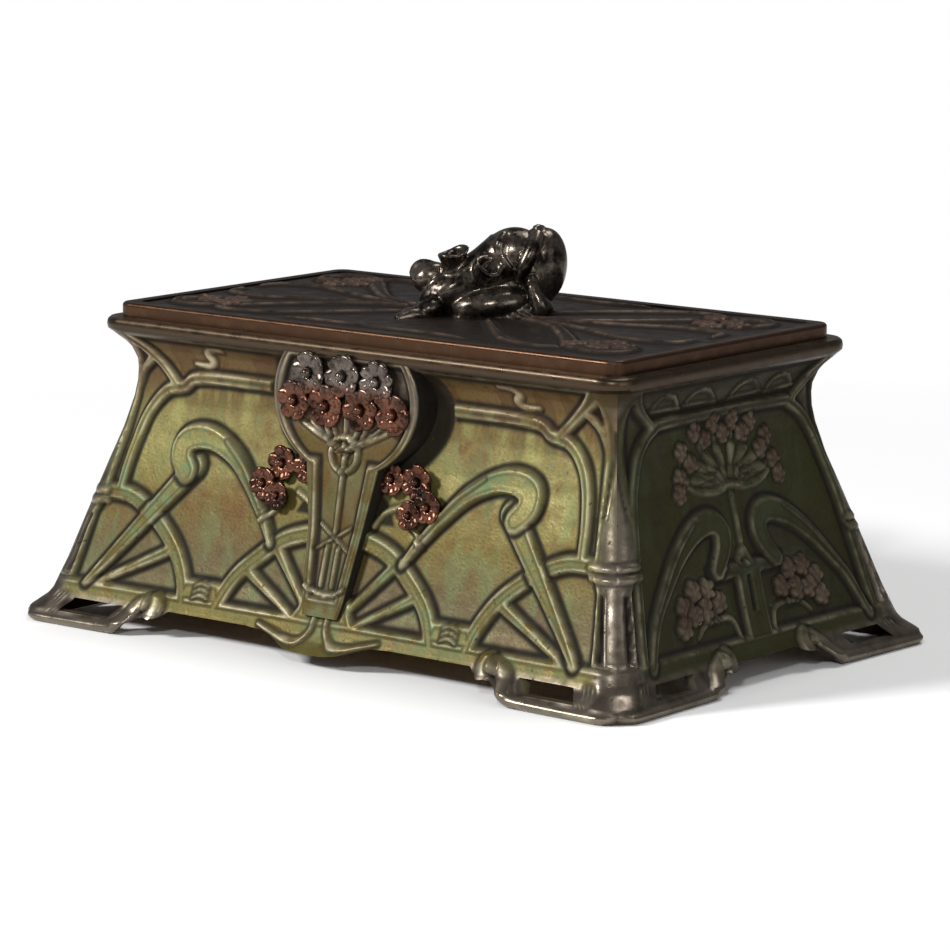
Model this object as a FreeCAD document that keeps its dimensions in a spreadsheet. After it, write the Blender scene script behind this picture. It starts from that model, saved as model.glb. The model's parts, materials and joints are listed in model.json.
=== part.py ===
"""Art Nouveau casket inkwell: a cast bronze box on four pierced feet, a hinged lid with a flower
handle, and a lift-out tray that holds two porcelain ink pots.

+X runs along the box, the front faces -Y and +Z is up. The origin is on the desk under the middle.
"""

import FreeCAD, Part

import math
import os
import re

import Sketcher

# Driving dimensions in millimetres. Each outline height above the ankle is counted down from the rim.
SIZES = {
    # casket outline: half sizes at the rim, and how far each level stands out from the rim
    "body_height": 95.5, "rim_half_length": 103.4, "rim_half_width": 56.6, "end_flare_share": 0.8,
    "corner_radius": 6.0, "sole_flare": 21.0, "toe_flare": 22.0, "toe_height": 3.5,
    "ankle_flare": 15.8, "ankle_height": 10.0, "shoulder_inset": 2.1, "shoulder_drop": 35.5,
    "waist_inset": 6.1, "waist_drop": 16.5, "cove_inset": 4.0, "cove_drop": 9.0,
    "flange_drop": 4.0, "flange_overhang": 1.6, "flange_slope": 0.6, "flange_ease": 0.5,
    # "spare" is how far a cutting tool runs past what it cuts
    "spare": 1.0, "wall": 3.2,
    # opening under the lid: how far the lid overlaps it at the ends and along the sides
    "end_seat": 6.0, "side_seat": 7.2, "opening_radius": 4.0,
    # feet, arches and slots
    "arch_height": 9.0, "front_arch_half": 66.0, "front_foot_start": 84.0, "end_arch_half": 20.0,
    "end_foot_start": 36.0, "pendant_half": 21.0, "pendant_nose": 8.0, "pendant_height": 5.6,
    "foot_lip": 1.2, "end_arch_drop": 1.0,
    "slot_low": 5.0, "slot_high": 8.6, "front_slot_in": 81.0, "front_slot_out": 103.0,
    "end_slot_in": 38.0, "end_slot_out": 57.0,
    # keyhole medallion on the front and the back
    "medallion_half": 30.0, "medallion_rise": 18.5, "medallion_drop": 21.5, "column_top_half": 14.5,
    "column_foot_half": 6.5, "column_top_drop": 35.5, "column_foot_height": 17.0,
    "medallion_top_out": 1.4, "medallion_mid_out": 4.0, "medallion_foot_out": 13.0,
    # lid
    "lid_half_length": 100.0, "lid_half_width": 53.2, "lid_thickness": 4.6, "lid_corner": 5.0,
    "lid_border": 5.0, "field_depth": 0.8, "lip_depth": 3.0, "lip_width": 2.5, "lip_clearance": 0.6,
    "lid_edge_round": 1.2,
    # hinges
    "hinge_offset": 60.0, "hinge_width": 26.0, "barrel_radius": 2.2, "pin_radius": 1.0,
    "pin_clearance": 0.05, "barrel_setback": 2.5, "knuckle_gap": 0.3, "middle_knuckle": 9.4,
    "leaf_thickness": 1.2, "leaf_depth": 6.6, "notch_clearance": 0.35, "pin_overhang": 0.4,
    "web_lap": 0.2,
    "screw_pitch": 16.0, "screw_setback": 3.6, "screw_head_radius": 1.8, "screw_head_height": 0.9,
    "screw_shank_radius": 0.9, "body_screw_length": 6.0, "lid_screw_length": 3.0,
    "screw_clearance": 0.05, "screw_sink": 0.1,
    # flower handle and its fixing
    "stud_radius": 2.0, "stud_embed": 7.0, "stud_below": 5.0, "stud_end_gap": 0.2,
    "stud_hole_clearance": 0.2,
    "washer_radius": 5.5, "washer_thickness": 1.0, "nut_flats": 7.0, "nut_height": 3.2,
    "thread_clearance": 0.05, "handle_foot_radius": 7.0, "handle_foot_height": 3.0,
    # tray and pots
    "tray_thickness": 1.6, "tray_drop": 15.9, "tray_clearance": 0.6, "tray_corner": 3.6,
    "pot_offset": 58.0, "pot_hole_radius": 21.4, "pot_radius": 20.8, "pot_base_radius": 17.5,
    "pot_flange_radius": 25.0, "pot_flange_height": 3.0, "pot_length": 40.0, "pot_wall": 3.2,
    "pan_half_length": 25.0, "pan_margin": 8.0, "pan_depth": 8.0,
    "ledge_height": 8.0, "ledge_reach": 9.0,
    # bottom plate
    "plate_height": 19.0, "plate_thickness": 1.6, "plate_clearance": 0.8, "lug_height": 9.0,
    "lug_reach": 9.0, "plate_screw_inset": 6.0, "plate_screw_length": 7.0, "screw_end_gap": 1.0,
}
# The handle's masses: centre x, y and height above the lid's field, then radii along x, y and z.
HANDLE_MASSES = {
    "throat": (-6.0, 0.0, 8.5, 17.0, 8.5, 7.5),
    "leaf": (-20.0, 0.0, 3.4, 14.0, 8.0, 3.3),
    "left_petal": (-17.0, 2.0, 15.0, 8.0, 6.0, 5.0),
    "bloom": (10.0, 0.0, 18.0, 15.0, 9.0, 9.6),
    "hanging_petal": (20.0, -1.0, 12.5, 7.0, 9.0, 12.2),
    "under_leaf": (6.0, -3.0, 5.0, 13.0, 9.0, 4.9),
}
MASS_VALUES = ("x", "y", "rise", "reach_x", "reach_y", "reach_z")
for mass_name, mass_values in HANDLE_MASSES.items():
    for value_name, mass_value in zip(MASS_VALUES, mass_values):
        SIZES[f"{mass_name}_{value_name}"] = mass_value

# Sizes that follow from others.
DERIVED = {
    "opening_half_length": "lid_half_length - end_seat",
    "opening_half_width": "lid_half_width - side_seat",
}

doc = FreeCAD.newDocument("inkwell")
sheet = doc.addObject("Spreadsheet::Sheet", "Sizes")
for row, (alias, value) in enumerate(SIZES.items(), start=1):
    sheet.set(f"A{row}", alias)
    sheet.set(f"B{row}", str(value))
    sheet.setAlias(f"B{row}", alias)
doc.recompute()
ALIAS = re.compile(r"\b(" + "|".join(SIZES) + r")\b")
ALONG_X = FreeCAD.Rotation(FreeCAD.Vector(0, 1, 0), 90)
ALONG_Y = FreeCAD.Rotation(FreeCAD.Vector(1, 0, 0), 90)
SIDES = {"left": -1, "right": 1}


# ---------------------------------------------------------------- helpers
def formula(text):
    """An expression in which each derived size is written out and each alias looked up in the sheet."""
    for name, meaning in DERIVED.items():
        text = str(text).replace(name, f"({meaning})")
    return ALIAS.sub(r"Sizes.\1", text)


def bind(obj, **properties):
    """Binds an object's properties to expressions on the sheet."""
    for name, text in properties.items():
        obj.setExpression(name, formula(text))
    return obj


def place(obj, x=0, y=0, z=0, turn=None):
    """Puts an object at a place given by expressions, turned first if asked."""
    if turn is not None:
        obj.Placement = FreeCAD.Placement(FreeCAD.Vector(), turn)
    for axis, text in (("x", x), ("y", y), ("z", z)):
        obj.setExpression(f"Placement.Base.{axis}", formula(text))
    return obj


def box(name, low, high):
    """A box between two corners given as expressions."""
    made = doc.addObject("Part::Box", name)
    length, width, height = (f"({b}) - ({a})" for a, b in zip(low, high))
    bind(made, Length=length, Width=width, Height=height)
    return place(made, *low)


def cylinder(name, radius, height, at, turn=None):
    """A cylinder that starts at a point and runs up, or along the turned axis."""
    made = doc.addObject("Part::Cylinder", name)
    bind(made, Radius=radius, Height=height)
    return place(made, *at, turn=turn)


def fuse(name, *pieces):
    made = doc.addObject("Part::MultiFuse", name)
    made.Shapes = list(pieces)
    return made


def common(name, a, b):
    made = doc.addObject("Part::MultiCommon", name)
    made.Shapes = [a, b]
    return made


def cut(name, base, *tools):
    made = doc.addObject("Part::Cut", name)
    made.Base = base
    made.Tool = tools[0] if len(tools) == 1 else fuse(name + "_tools", *tools)
    return made


def group(name, pieces):
    made = doc.addObject("Part::Compound", name)
    made.Links = list(pieces)
    return made


def pin_point(sketch, geometry, end, x, y):
    """Fixes a sketch point at expressions for x and y."""
    for kind, text in (("DistanceX", x), ("DistanceY", y)):
        index = sketch.addConstraint(Sketcher.Constraint(kind, geometry, end, 0.0))
        sketch.setExpression(f"Constraints[{index}]", formula(text))


def polygon_sketch(name, points, plane_turn, offset=0):
    """A free sketch of a closed polygon whose corners are pairs of expressions."""
    sketch = doc.addObject("Sketcher::SketchObject", name)
    place(sketch, *offset if isinstance(offset, tuple) else (0, 0, offset), turn=plane_turn)
    start = [FreeCAD.Vector(sheet_value(x), sheet_value(y), 0) for x, y in points]
    count = len(points)
    for k in range(count):
        sketch.addGeometry(Part.LineSegment(start[k], start[(k + 1) % count]))
    for k in range(count):
        sketch.addConstraint(Sketcher.Constraint("Coincident", k, 2, (k + 1) % count, 1))
    for k, (x, y) in enumerate(points):
        pin_point(sketch, k, 1, x, y)
    return sketch


def sheet_value(text):
    """The number an expression has now, used only to start a sketch near its answer."""
    return float(eval_formula(formula(text)))


def eval_formula(text):
    value = sheet.evalExpression(text)
    return getattr(value, "Value", value)


def extrude(name, profile, direction, length, both=False):
    """A straight extrusion of a sketch along a world direction."""
    made = doc.addObject("Part::Extrusion", name)
    made.Base = profile
    made.DirMode = "Custom"
    made.Dir = FreeCAD.Vector(*direction)
    made.Solid = True
    made.Symmetric = both
    return bind(made, LengthFwd=length)


def rounded_rectangle(sketch, half_x, half_y, radius):
    """Draws a centred rounded rectangle whose half sizes and radius are expressions."""
    x, y, r = (sheet_value(v) for v in (half_x, half_y, radius))
    vec = FreeCAD.Vector
    up = vec(0, 0, 1)
    corners = [(x - r, y - r, 0), (r - x, y - r, 90), (r - x, r - y, 180), (x - r, r - y, 270)]
    for cx, cy, start in corners:
        circle = Part.Circle(vec(cx, cy, 0), up, r)
        sketch.addGeometry(Part.ArcOfCircle(circle, math.radians(start), math.radians(start + 90)))
    ends = [((x - r, y), (r - x, y)), ((-x, y - r), (-x, r - y)), ((r - x, -y), (x - r, -y)),
            ((x, r - y), (x, y - r))]
    for (ax, ay), (bx, by) in ends:
        sketch.addGeometry(Part.LineSegment(vec(ax, ay, 0), vec(bx, by, 0)))
    for k in range(4):
        line = 4 + k
        sketch.addConstraint(Sketcher.Constraint("Tangent", k, 2, line, 1))
        sketch.addConstraint(Sketcher.Constraint("Tangent", line, 2, (k + 1) % 4, 1))
        sketch.addConstraint(Sketcher.Constraint("Vertical" if k % 2 else "Horizontal", line))
        if k:
            sketch.addConstraint(Sketcher.Constraint("Equal", 0, k))
    sizes = [("Radius", (0,), radius), ("DistanceY", (-1, 1, 4, 1), half_y),
             ("DistanceX", (5, 1, -1, 1), half_x), ("DistanceY", (6, 1, -1, 1), half_y),
             ("DistanceX", (-1, 1, 7, 1), half_x)]
    for kind, where, text in sizes:
        index = sketch.addConstraint(Sketcher.Constraint(kind, *where, sheet_value(text)))
        sketch.setExpression(f"Constraints[{index}]", formula(text))


def section(name, height, half_x, half_y, radius):
    """A rounded rectangle at a height, for a loft."""
    sketch = doc.addObject("Sketcher::SketchObject", name)
    place(sketch, 0, 0, height)
    rounded_rectangle(sketch, half_x, half_y, radius)
    return sketch


def loft(name, levels):
    """A ruled loft through rounded rectangles given as (height, half_x, half_y, radius)."""
    made = doc.addObject("Part::Loft", name)
    made.Sections = [section(f"{name}_{k}", *level) for k, level in enumerate(levels)]
    made.Solid = True
    made.Ruled = True
    return made


def slab(name, low, high, half_x, half_y, radius):
    """A rounded plate between two heights."""
    return loft(name, [(low, half_x, half_y, radius), (high, half_x, half_y, radius)])


# ---------------------------------------------------------------- casket
def flared(flare):
    """Half length and half width of the casket's outside where it stands out by a flare."""
    return f"rim_half_length + end_flare_share*({flare})", f"rim_half_width + ({flare})"


OUTLINE = [
    ("0", "sole_flare"), ("toe_height", "toe_flare"), ("ankle_height", "ankle_flare"),
    ("body_height - shoulder_drop", "-shoulder_inset"), ("body_height - waist_drop", "-waist_inset"),
    ("body_height - cove_drop", "-cove_inset"),
    ("body_height - flange_drop", "flange_overhang - flange_slope"),
    ("body_height - flange_drop/2", "flange_overhang"), ("body_height", "flange_overhang - flange_ease"),
]


def outer_solid(name):
    return loft(name, [(z, *flared(f), "corner_radius") for z, f in OUTLINE])


def inner_solid(name):
    """The cavity: the outline less the wall, closing to the opening at the waist."""
    levels = [("-spare", *flared("sole_flare - wall"), "corner_radius - wall")]
    for z, f in OUTLINE[1:4]:
        levels.append((z, *flared(f"{f} - wall"), "corner_radius - wall"))
    opening = ("opening_half_length", "opening_half_width", "opening_radius")
    levels += [("body_height - waist_drop", *opening), ("body_height + spare", *opening)]
    return loft(name, levels)


def medallion(name, sign):
    """Oval disc and tapered column standing straight in front of the hollow wall."""
    disc = doc.addObject("Part::Ellipse", name + "_oval")
    bind(disc, MajorRadius="medallion_half", MinorRadius="medallion_rise")
    place(disc, 0, 0, "body_height - medallion_drop", turn=ALONG_Y)
    column = polygon_sketch(
        name + "_column",
        [("-column_foot_half", "column_foot_height"), ("column_foot_half", "column_foot_height"),
         ("column_top_half", "body_height - column_top_drop"),
         ("column_top_half", "body_height - medallion_drop"),
         ("-column_top_half", "body_height - medallion_drop"),
         ("-column_top_half", "body_height - column_top_drop")], ALONG_Y)
    reach = "rim_half_width + toe_flare"
    shape = fuse(name + "_face", extrude(name + "_disc", disc, (0, sign, 0), reach),
                 extrude(name + "_bar", column, (0, sign, 0), reach))
    outs = [("rim_half_width - waist_inset - wall", "column_foot_height"),
            ("rim_half_width + medallion_foot_out", "column_foot_height"),
            ("rim_half_width + medallion_mid_out", "body_height - column_top_drop"),
            ("rim_half_width + medallion_top_out", "body_height - flange_drop"),
            ("rim_half_width - waist_inset - wall", "body_height - flange_drop")]
    points = [(f"{sign}*({y})", z) for y, z in outs]
    upright = FreeCAD.Rotation(FreeCAD.Vector(1, 1, 1), 120)
    depth = extrude(name + "_depth", polygon_sketch(name + "_side", points, upright), (1, 0, 0),
                    "2*medallion_half + 2*spare", both=True)
    return common(name, shape, depth)


def corner_boxes(name, inner, low, high):
    """Four boxes that run from an inner corner (half x, half y) out past the casket's corners."""
    far = ("rim_half_length + toe_flare", "rim_half_width + toe_flare")
    made = []
    for sign_x in (-1, 1):
        for sign_y in (-1, 1):
            spans = []
            for sign, near, reach in zip((sign_x, sign_y), inner, far):
                spans.append([f"{sign}*({near})", f"{sign}*({reach})"][::sign])
            (x0, x1), (y0, y1) = spans
            made.append(box(f"{name}_{len(made)}", (x0, y0, low), (x1, y1, high)))
    return made


def hinge_axis():
    """Height and depth of the hinge pin."""
    return "body_height", "lid_half_width + barrel_setback"


def screw(name, x, y, z, length, up=1):
    """A countersunk screw whose head is flush at z, with its shank pointing up or down."""
    grow = "" if up > 0 else "-"
    head = doc.addObject("Part::Cone", name + "_head")
    wide, thin = ("screw_head_radius", "screw_shank_radius")
    bind(head, Radius1=wide if up > 0 else thin, Radius2=thin if up > 0 else wide,
         Height="screw_head_height")
    place(head, x, y, z if up > 0 else f"({z}) - screw_head_height")
    start = z if up > 0 else f"({z}) - ({length})"
    shank = cylinder(name + "_shank", "screw_shank_radius", length, (x, y, start))
    return fuse(name, head, shank)


def screw_hole(name, x, y, z, length, up=1):
    """The clearance space of a screw: its cone and shank, a little wider."""
    head = doc.addObject("Part::Cone", name + "_cone")
    wide = "screw_head_radius + screw_clearance + screw_sink"
    thin = "screw_shank_radius + screw_clearance"
    bind(head, Radius1=wide if up > 0 else thin, Radius2=thin if up > 0 else wide,
         Height="screw_head_height + screw_sink")
    place(head, x, y, z if up > 0 else f"({z}) - screw_head_height - screw_sink")
    deep = f"({length}) + 2*screw_sink + screw_clearance"
    start = z if up > 0 else f"({z}) - ({deep})"
    return fuse(name, head, cylinder(name + "_bore", thin, deep, (x, y, start)))


def hinge_screw_places():
    """The x of each hinge screw with its hinge's name."""
    return [(f"{side}_{k}", f"{sign}*hinge_offset + ({k})*screw_pitch/2")
            for side, sign in SIDES.items() for k in (-1, 1)]


SCREW_Y = "lid_half_width - screw_setback"


def plate_screw_places():
    """The plan position of each bottom-plate screw."""
    half_x, half_y = plate_halves()
    return [(f"{'lr'[sx > 0]}{'fb'[sy > 0]}", f"{sx}*(({half_x}) - plate_screw_inset)",
             f"{sy}*(({half_y}) - plate_screw_inset)") for sx in (-1, 1) for sy in (-1, 1)]


def mirrored(half):
    """A whole outline, left to right, from the right half of its corners."""
    return [(f"-({x})", z) for x, z in reversed(half)] + half


def wall_flare_at(height):
    """How far the straight wall stands out at a height between ankle and shoulder."""
    run = "(body_height - shoulder_drop - ankle_height)"
    return f"ankle_flare - (ankle_flare + shoulder_inset)*(({height}) - ankle_height)/{run}"


def plate_halves():
    flare = wall_flare_at("plate_height + plate_thickness")
    half_x, half_y = flared(f"({flare}) - wall")
    return f"({half_x}) - plate_clearance", f"({half_y}) - plate_clearance"


def make_casket():
    solid = fuse("casket_solid", outer_solid("outline"), medallion("front_medallion", -1),
                 medallion("back_medallion", 1))
    shell = cut("casket_shell", solid, inner_solid("cavity"))
    ledge_top = "body_height - tray_drop - tray_thickness"
    ledges = corner_boxes("tray_ledge", ("opening_half_length - ledge_reach",
                                         "opening_half_width - ledge_reach"),
                          f"{ledge_top} - ledge_height", ledge_top)
    plate_x, plate_y = plate_halves()
    plate_top = "plate_height + plate_thickness"
    lugs = corner_boxes("plate_lug", (f"{plate_x} - lug_reach", f"{plate_y} - lug_reach"),
                        plate_top, f"{plate_top} + lug_height")
    whole = common("casket_trimmed", fuse("casket_with_lugs", shell, *ledges, *lugs), solid)
    tools = []
    # the arches between the feet, with a pendant nose in the middle of the long sides
    half_front = [("pendant_nose", "pendant_height"), ("pendant_half", "arch_height"),
                  ("front_arch_half", "arch_height"), ("front_foot_start", "foot_lip"),
                  ("front_foot_start", "-spare")]
    front = mirrored(half_front)
    width = "2*(rim_half_width + toe_flare) + 2*spare"
    tools.append(extrude("front_arch", polygon_sketch("front_arch_line", front, ALONG_Y), (0, 1, 0),
                         width, both=True))
    end = mirrored([("end_arch_half", "arch_height - end_arch_drop"), ("end_foot_start", "foot_lip"),
                    ("end_foot_start", "-spare")])
    upright = FreeCAD.Rotation(FreeCAD.Vector(1, 1, 1), 120)
    length = "2*(rim_half_length + toe_flare) + 2*spare"
    tools.append(extrude("end_arch", polygon_sketch("end_arch_line", end, upright), (1, 0, 0),
                         length, both=True))
    far_x, far_y = "rim_half_length + toe_flare", "rim_half_width + toe_flare"
    for side, sign in SIDES.items():
        xs = [f"{sign}*front_slot_in", f"{sign}*front_slot_out"][::sign]
        ys = [f"{sign}*end_slot_in", f"{sign}*end_slot_out"][::sign]
        tools.append(box(f"front_slot_{side}", (xs[0], f"-({far_y})", "slot_low"),
                         (xs[1], far_y, "slot_high")))
        tools.append(box(f"end_slot_{side}", (f"-({far_x})", ys[0], "slot_low"),
                         (far_x, ys[1], "slot_high")))
        # the bed of each hinge: a notch for the barrel and a recess for the leaf
        axis_z, axis_y = hinge_axis()
        reach = "(hinge_width/2 + pin_overhang + notch_clearance)"
        tools.append(box(f"barrel_notch_{side}",
                         (f"{sign}*hinge_offset - {reach}",
                          f"{axis_y} - barrel_radius - notch_clearance",
                          f"{axis_z} - barrel_radius - notch_clearance"),
                         (f"{sign}*hinge_offset + {reach}", far_y, "body_height + spare")))
        tools.append(box(f"leaf_bed_{side}",
                         (f"{sign}*hinge_offset - hinge_width/2", "lid_half_width - leaf_depth",
                          "body_height - leaf_thickness"),
                         (f"{sign}*hinge_offset + hinge_width/2", far_y, "body_height + spare")))
    for name, x in hinge_screw_places():
        tools.append(screw_hole(f"body_screw_hole_{name}".replace("-", "m"), x, SCREW_Y,
                                "body_height", "body_screw_length", up=-1))
    for name, x, y in plate_screw_places():
        tools.append(cylinder(f"plate_tap_{name}", "screw_shank_radius + screw_clearance",
                              "plate_screw_length", (x, y, "plate_height")))
    return cut("casket_body", whole, *tools)


# ---------------------------------------------------------------- lid
def make_lid():
    top = "body_height + lid_thickness"
    plate = slab("lid_plate", "body_height", top, "lid_half_length", "lid_half_width", "lid_corner")
    doc.recompute()
    radius = sheet_value("lid_edge_round")
    rim_edges = [(number, radius, radius) for number, edge in enumerate(plate.Shape.Edges, start=1)
                 if min(v.Point.z for v in edge.Vertexes) > sheet_value(top) - radius]
    rounded = doc.addObject("Part::Fillet", "lid_rounded")
    rounded.Base = plate
    rounded.Edges = rim_edges
    field = slab("lid_field", f"{top} - field_depth", f"{top} + spare", "lid_half_length - lid_border",
                 "lid_half_width - lid_border", "lid_corner/2")
    outer = ("opening_half_length - lip_clearance", "opening_half_width - lip_clearance")
    lip = slab("lip_outside", "body_height - lip_depth", "body_height", *outer, "opening_radius")
    hole = slab("lip_inside", "body_height - lip_depth - spare", "body_height",
                *(f"{h} - lip_width" for h in outer), "opening_radius - lip_width/2")
    ring = cut("lip_ring", lip, hole)
    whole = fuse("lid_blank", rounded, ring)
    tools = [field, cylinder("stud_hole", "stud_radius + stud_hole_clearance",
                             "lid_thickness + 2*spare", (0, 0, "body_height - spare"))]
    for side, sign in SIDES.items():
        tools.append(box(f"lid_leaf_bed_{side}",
                         (f"{sign}*hinge_offset - hinge_width/2", "lid_half_width - leaf_depth",
                          "body_height"),
                         (f"{sign}*hinge_offset + hinge_width/2", "lid_half_width + spare",
                          "body_height + leaf_thickness")))
    for name, x in hinge_screw_places():
        tools.append(screw_hole(f"lid_screw_hole_{name}".replace("-", "m"), x, SCREW_Y,
                                "body_height", "lid_screw_length", up=1))
    return cut("lid", whole, *tools)


# ---------------------------------------------------------------- hinges
def make_hinge(side, sign):
    """The two leaves and the pin of one hinge."""
    axis_z, axis_y = hinge_axis()
    middle = f"{sign}*hinge_offset"
    half, inner = "hinge_width/2", "middle_knuckle/2"
    near = "lid_half_width - leaf_depth"
    gap_y = f"{axis_y} - barrel_radius - knuckle_gap"
    spans = {"body": [(f"{middle} - {half}", f"{half} - {inner} - knuckle_gap"),
                      (f"{middle} + {inner} + knuckle_gap", f"{half} - {inner} - knuckle_gap")],
             "lid": [(f"{middle} - {inner}", "middle_knuckle")]}
    made = []
    for owner, zs in (("body", ("body_height - leaf_thickness", "body_height")),
                      ("lid", ("body_height", "body_height + leaf_thickness"))):
        label = f"hinge_{owner}_leaf_{side}"
        plate = box(label + "_plate", (f"{middle} - {half}", near, zs[0]),
                    (f"{middle} + {half}", gap_y, zs[1]))
        solids = [plate]
        for k, (start, length) in enumerate(spans[owner]):
            solids.append(cylinder(f"{label}_knuckle_{k}", "barrel_radius", length,
                                   (start, axis_y, axis_z), turn=ALONG_X))
            solids.append(box(f"{label}_web_{k}", (start, f"{gap_y} - web_lap", zs[0]),
                              (f"{start} + {length}", axis_y, zs[1])))
        grip = "pin_clearance" if owner == "lid" else "pin_clearance/2"
        tools = [cylinder(label + "_bore", f"pin_radius + {grip}", "hinge_width + 2*spare",
                          (f"{middle} - {half} - spare", axis_y, axis_z), turn=ALONG_X)]
        up = 1 if owner == "lid" else -1
        for k in (-1, 1):
            tools.append(screw_hole(f"{label}_hole_{k}".replace("-", "m"),
                                    f"{middle} + ({k})*screw_pitch/2", SCREW_Y, "body_height",
                                    "leaf_thickness + spare", up=up))
        made.append(cut(label, fuse(label + "_blank", *solids), *tools))
    made.append(cylinder(f"hinge_pin_{side}", "pin_radius", "hinge_width + 2*pin_overhang",
                         (f"{middle} - {half} - pin_overhang", axis_y, axis_z), turn=ALONG_X))
    return made


def make_hinge_screws():
    body, lid = [], []
    for name, x in hinge_screw_places():
        tag = name.replace("-", "m")
        body.append(screw(f"body_screw_{tag}", x, SCREW_Y, "body_height - screw_sink",
                          "body_screw_length", up=-1))
        lid.append(screw(f"lid_screw_{tag}", x, SCREW_Y, "body_height + screw_sink",
                         "lid_screw_length", up=1))
    return [group("hinge_body_screws", body), group("hinge_lid_screws", lid)]


# ---------------------------------------------------------------- handle and fixing
def make_handle():
    field = "body_height + lid_thickness - field_depth"
    solids = [cylinder("handle_foot", "handle_foot_radius", "handle_foot_height", (0, 0, field))]
    for name in HANDLE_MASSES:
        mass = doc.addObject("Part::Ellipsoid", "handle_" + name)
        bind(mass, Radius1=f"{name}_reach_z", Radius2=f"{name}_reach_x", Radius3=f"{name}_reach_y")
        place(mass, f"{name}_x", f"{name}_y", f"{field} + {name}_rise")
        solids.append(mass)
    under = box("handle_under", ("-lid_half_length", "-lid_half_width", "0"),
                ("lid_half_length", "lid_half_width", field))
    bore = cylinder("stud_socket", "stud_radius + thread_clearance", "stud_embed + stud_end_gap",
                    (0, 0, field))
    handle = cut("flower_handle", fuse("handle_blank", *solids), under, bore)
    stud = cylinder("handle_stud", "stud_radius",
                    "stud_embed + lid_thickness - field_depth + stud_below",
                    (0, 0, "body_height - stud_below"))
    washer = cut("handle_washer",
                 cylinder("washer_disc", "washer_radius", "washer_thickness",
                          (0, 0, "body_height - washer_thickness")),
                 cylinder("washer_hole", "stud_radius + stud_hole_clearance", "washer_thickness + 2*spare",
                          (0, 0, "body_height - washer_thickness - spare")))
    prism = doc.addObject("Part::Prism", "nut_prism")
    bind(prism, Circumradius="nut_flats/sqrt(3)", Height="nut_height")
    place(prism, 0, 0, "body_height - washer_thickness - nut_height")
    nut = cut("handle_nut", prism,
              cylinder("nut_thread", "stud_radius + thread_clearance", "nut_height + 2*spare",
                       (0, 0, "body_height - washer_thickness - nut_height - spare")))
    return [handle, stud, washer, nut]


# ---------------------------------------------------------------- tray, pots and bottom plate
def make_tray():
    top = "body_height - tray_drop"
    low = f"{top} - tray_thickness"
    plate = slab("tray_plate", low, top, "opening_half_length - tray_clearance",
                 "opening_half_width - tray_clearance", "tray_corner")
    outside = slab("pan_outside", f"{top} - pan_depth - tray_thickness", low,
                   "pan_half_length + tray_thickness", "opening_half_width - pan_margin + tray_thickness",
                   "tray_corner + tray_thickness")
    inside = slab("pan_inside", f"{top} - pan_depth", f"{top} + spare", "pan_half_length",
                  "opening_half_width - pan_margin", "tray_corner")
    holes = [cylinder(f"pot_hole_{side}", "pot_hole_radius", "tray_thickness + 2*spare",
                      (f"{sign}*pot_offset", 0, f"{low} - spare")) for side, sign in SIDES.items()]
    return cut("pot_tray", fuse("tray_blank", plate, outside), inside, *holes)


def make_pot(side, sign):
    """A porcelain pot: a flange that rests on the tray and a tapered cup below it."""
    top = "body_height - tray_drop"
    centre = f"{sign}*pot_offset"
    cup = doc.addObject("Part::Cone", f"pot_cup_{side}")
    bind(cup, Radius1="pot_base_radius", Radius2="pot_radius", Height="pot_length")
    place(cup, centre, 0, f"{top} - pot_length")
    flange = cylinder(f"pot_flange_{side}", "pot_flange_radius", "pot_flange_height",
                      (centre, 0, top))
    hollow = doc.addObject("Part::Cone", f"pot_hollow_{side}")
    bind(hollow, Radius1="pot_base_radius - pot_wall", Radius2="pot_radius - pot_wall",
         Height="pot_length + pot_flange_height - pot_wall")
    place(hollow, centre, 0, f"{top} - pot_length + pot_wall")
    return cut(f"ink_pot_{side}", fuse(f"pot_blank_{side}", cup, flange), hollow)


def make_bottom():
    half_x, half_y = plate_halves()
    plate = slab("plate_blank", "plate_height", "plate_height + plate_thickness", half_x, half_y,
                 "corner_radius - wall")
    holes, screws = [], []
    for name, x, y in plate_screw_places():
        holes.append(screw_hole(f"plate_hole_{name}", x, y, "plate_height", "plate_thickness", up=1))
        screws.append(screw(f"plate_screw_{name}", x, y, "plate_height + screw_sink",
                            "plate_screw_length - screw_end_gap", up=1))
    return [cut("bottom_plate", plate, *holes), group("bottom_plate_screws", screws)]


# ---------------------------------------------------------------- build, check and write
pieces = [make_casket(), make_lid(), *make_handle(), make_tray(), *make_bottom(),
          *make_hinge_screws()]
for side, sign in SIDES.items():
    pieces += make_hinge(side, sign) + [make_pot(side, sign)]
doc.recompute()

for obj in doc.Objects:
    if {"Invalid", "Error"} & set(obj.State):
        raise RuntimeError(f"{obj.Label} failed: {obj.State}")
os.makedirs("parts", exist_ok=True)
for piece in pieces:
    shape = piece.Shape
    if shape.isNull() or not shape.isValid() or not shape.Solids:
        raise RuntimeError(f"{piece.Label} has no valid solid")
    shape.exportStep(f"parts/{piece.Label}.step")
    box_of = shape.BoundBox
    print(f"{piece.Label}: {len(shape.Solids)} solid(s), {shape.Volume:.0f} mm3, "
          f"{box_of.XLength:.1f} x {box_of.YLength:.1f} x {box_of.ZLength:.1f}")
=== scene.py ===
"""Looks of a cast bronze casket inkwell: relief walls, medallions, flowers, lid and flower handle."""

import json
import logging
import math
from dataclasses import dataclass, field
from enum import Enum

import bmesh
import bpy
import numpy as np
from mathutils import Matrix, Vector


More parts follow.
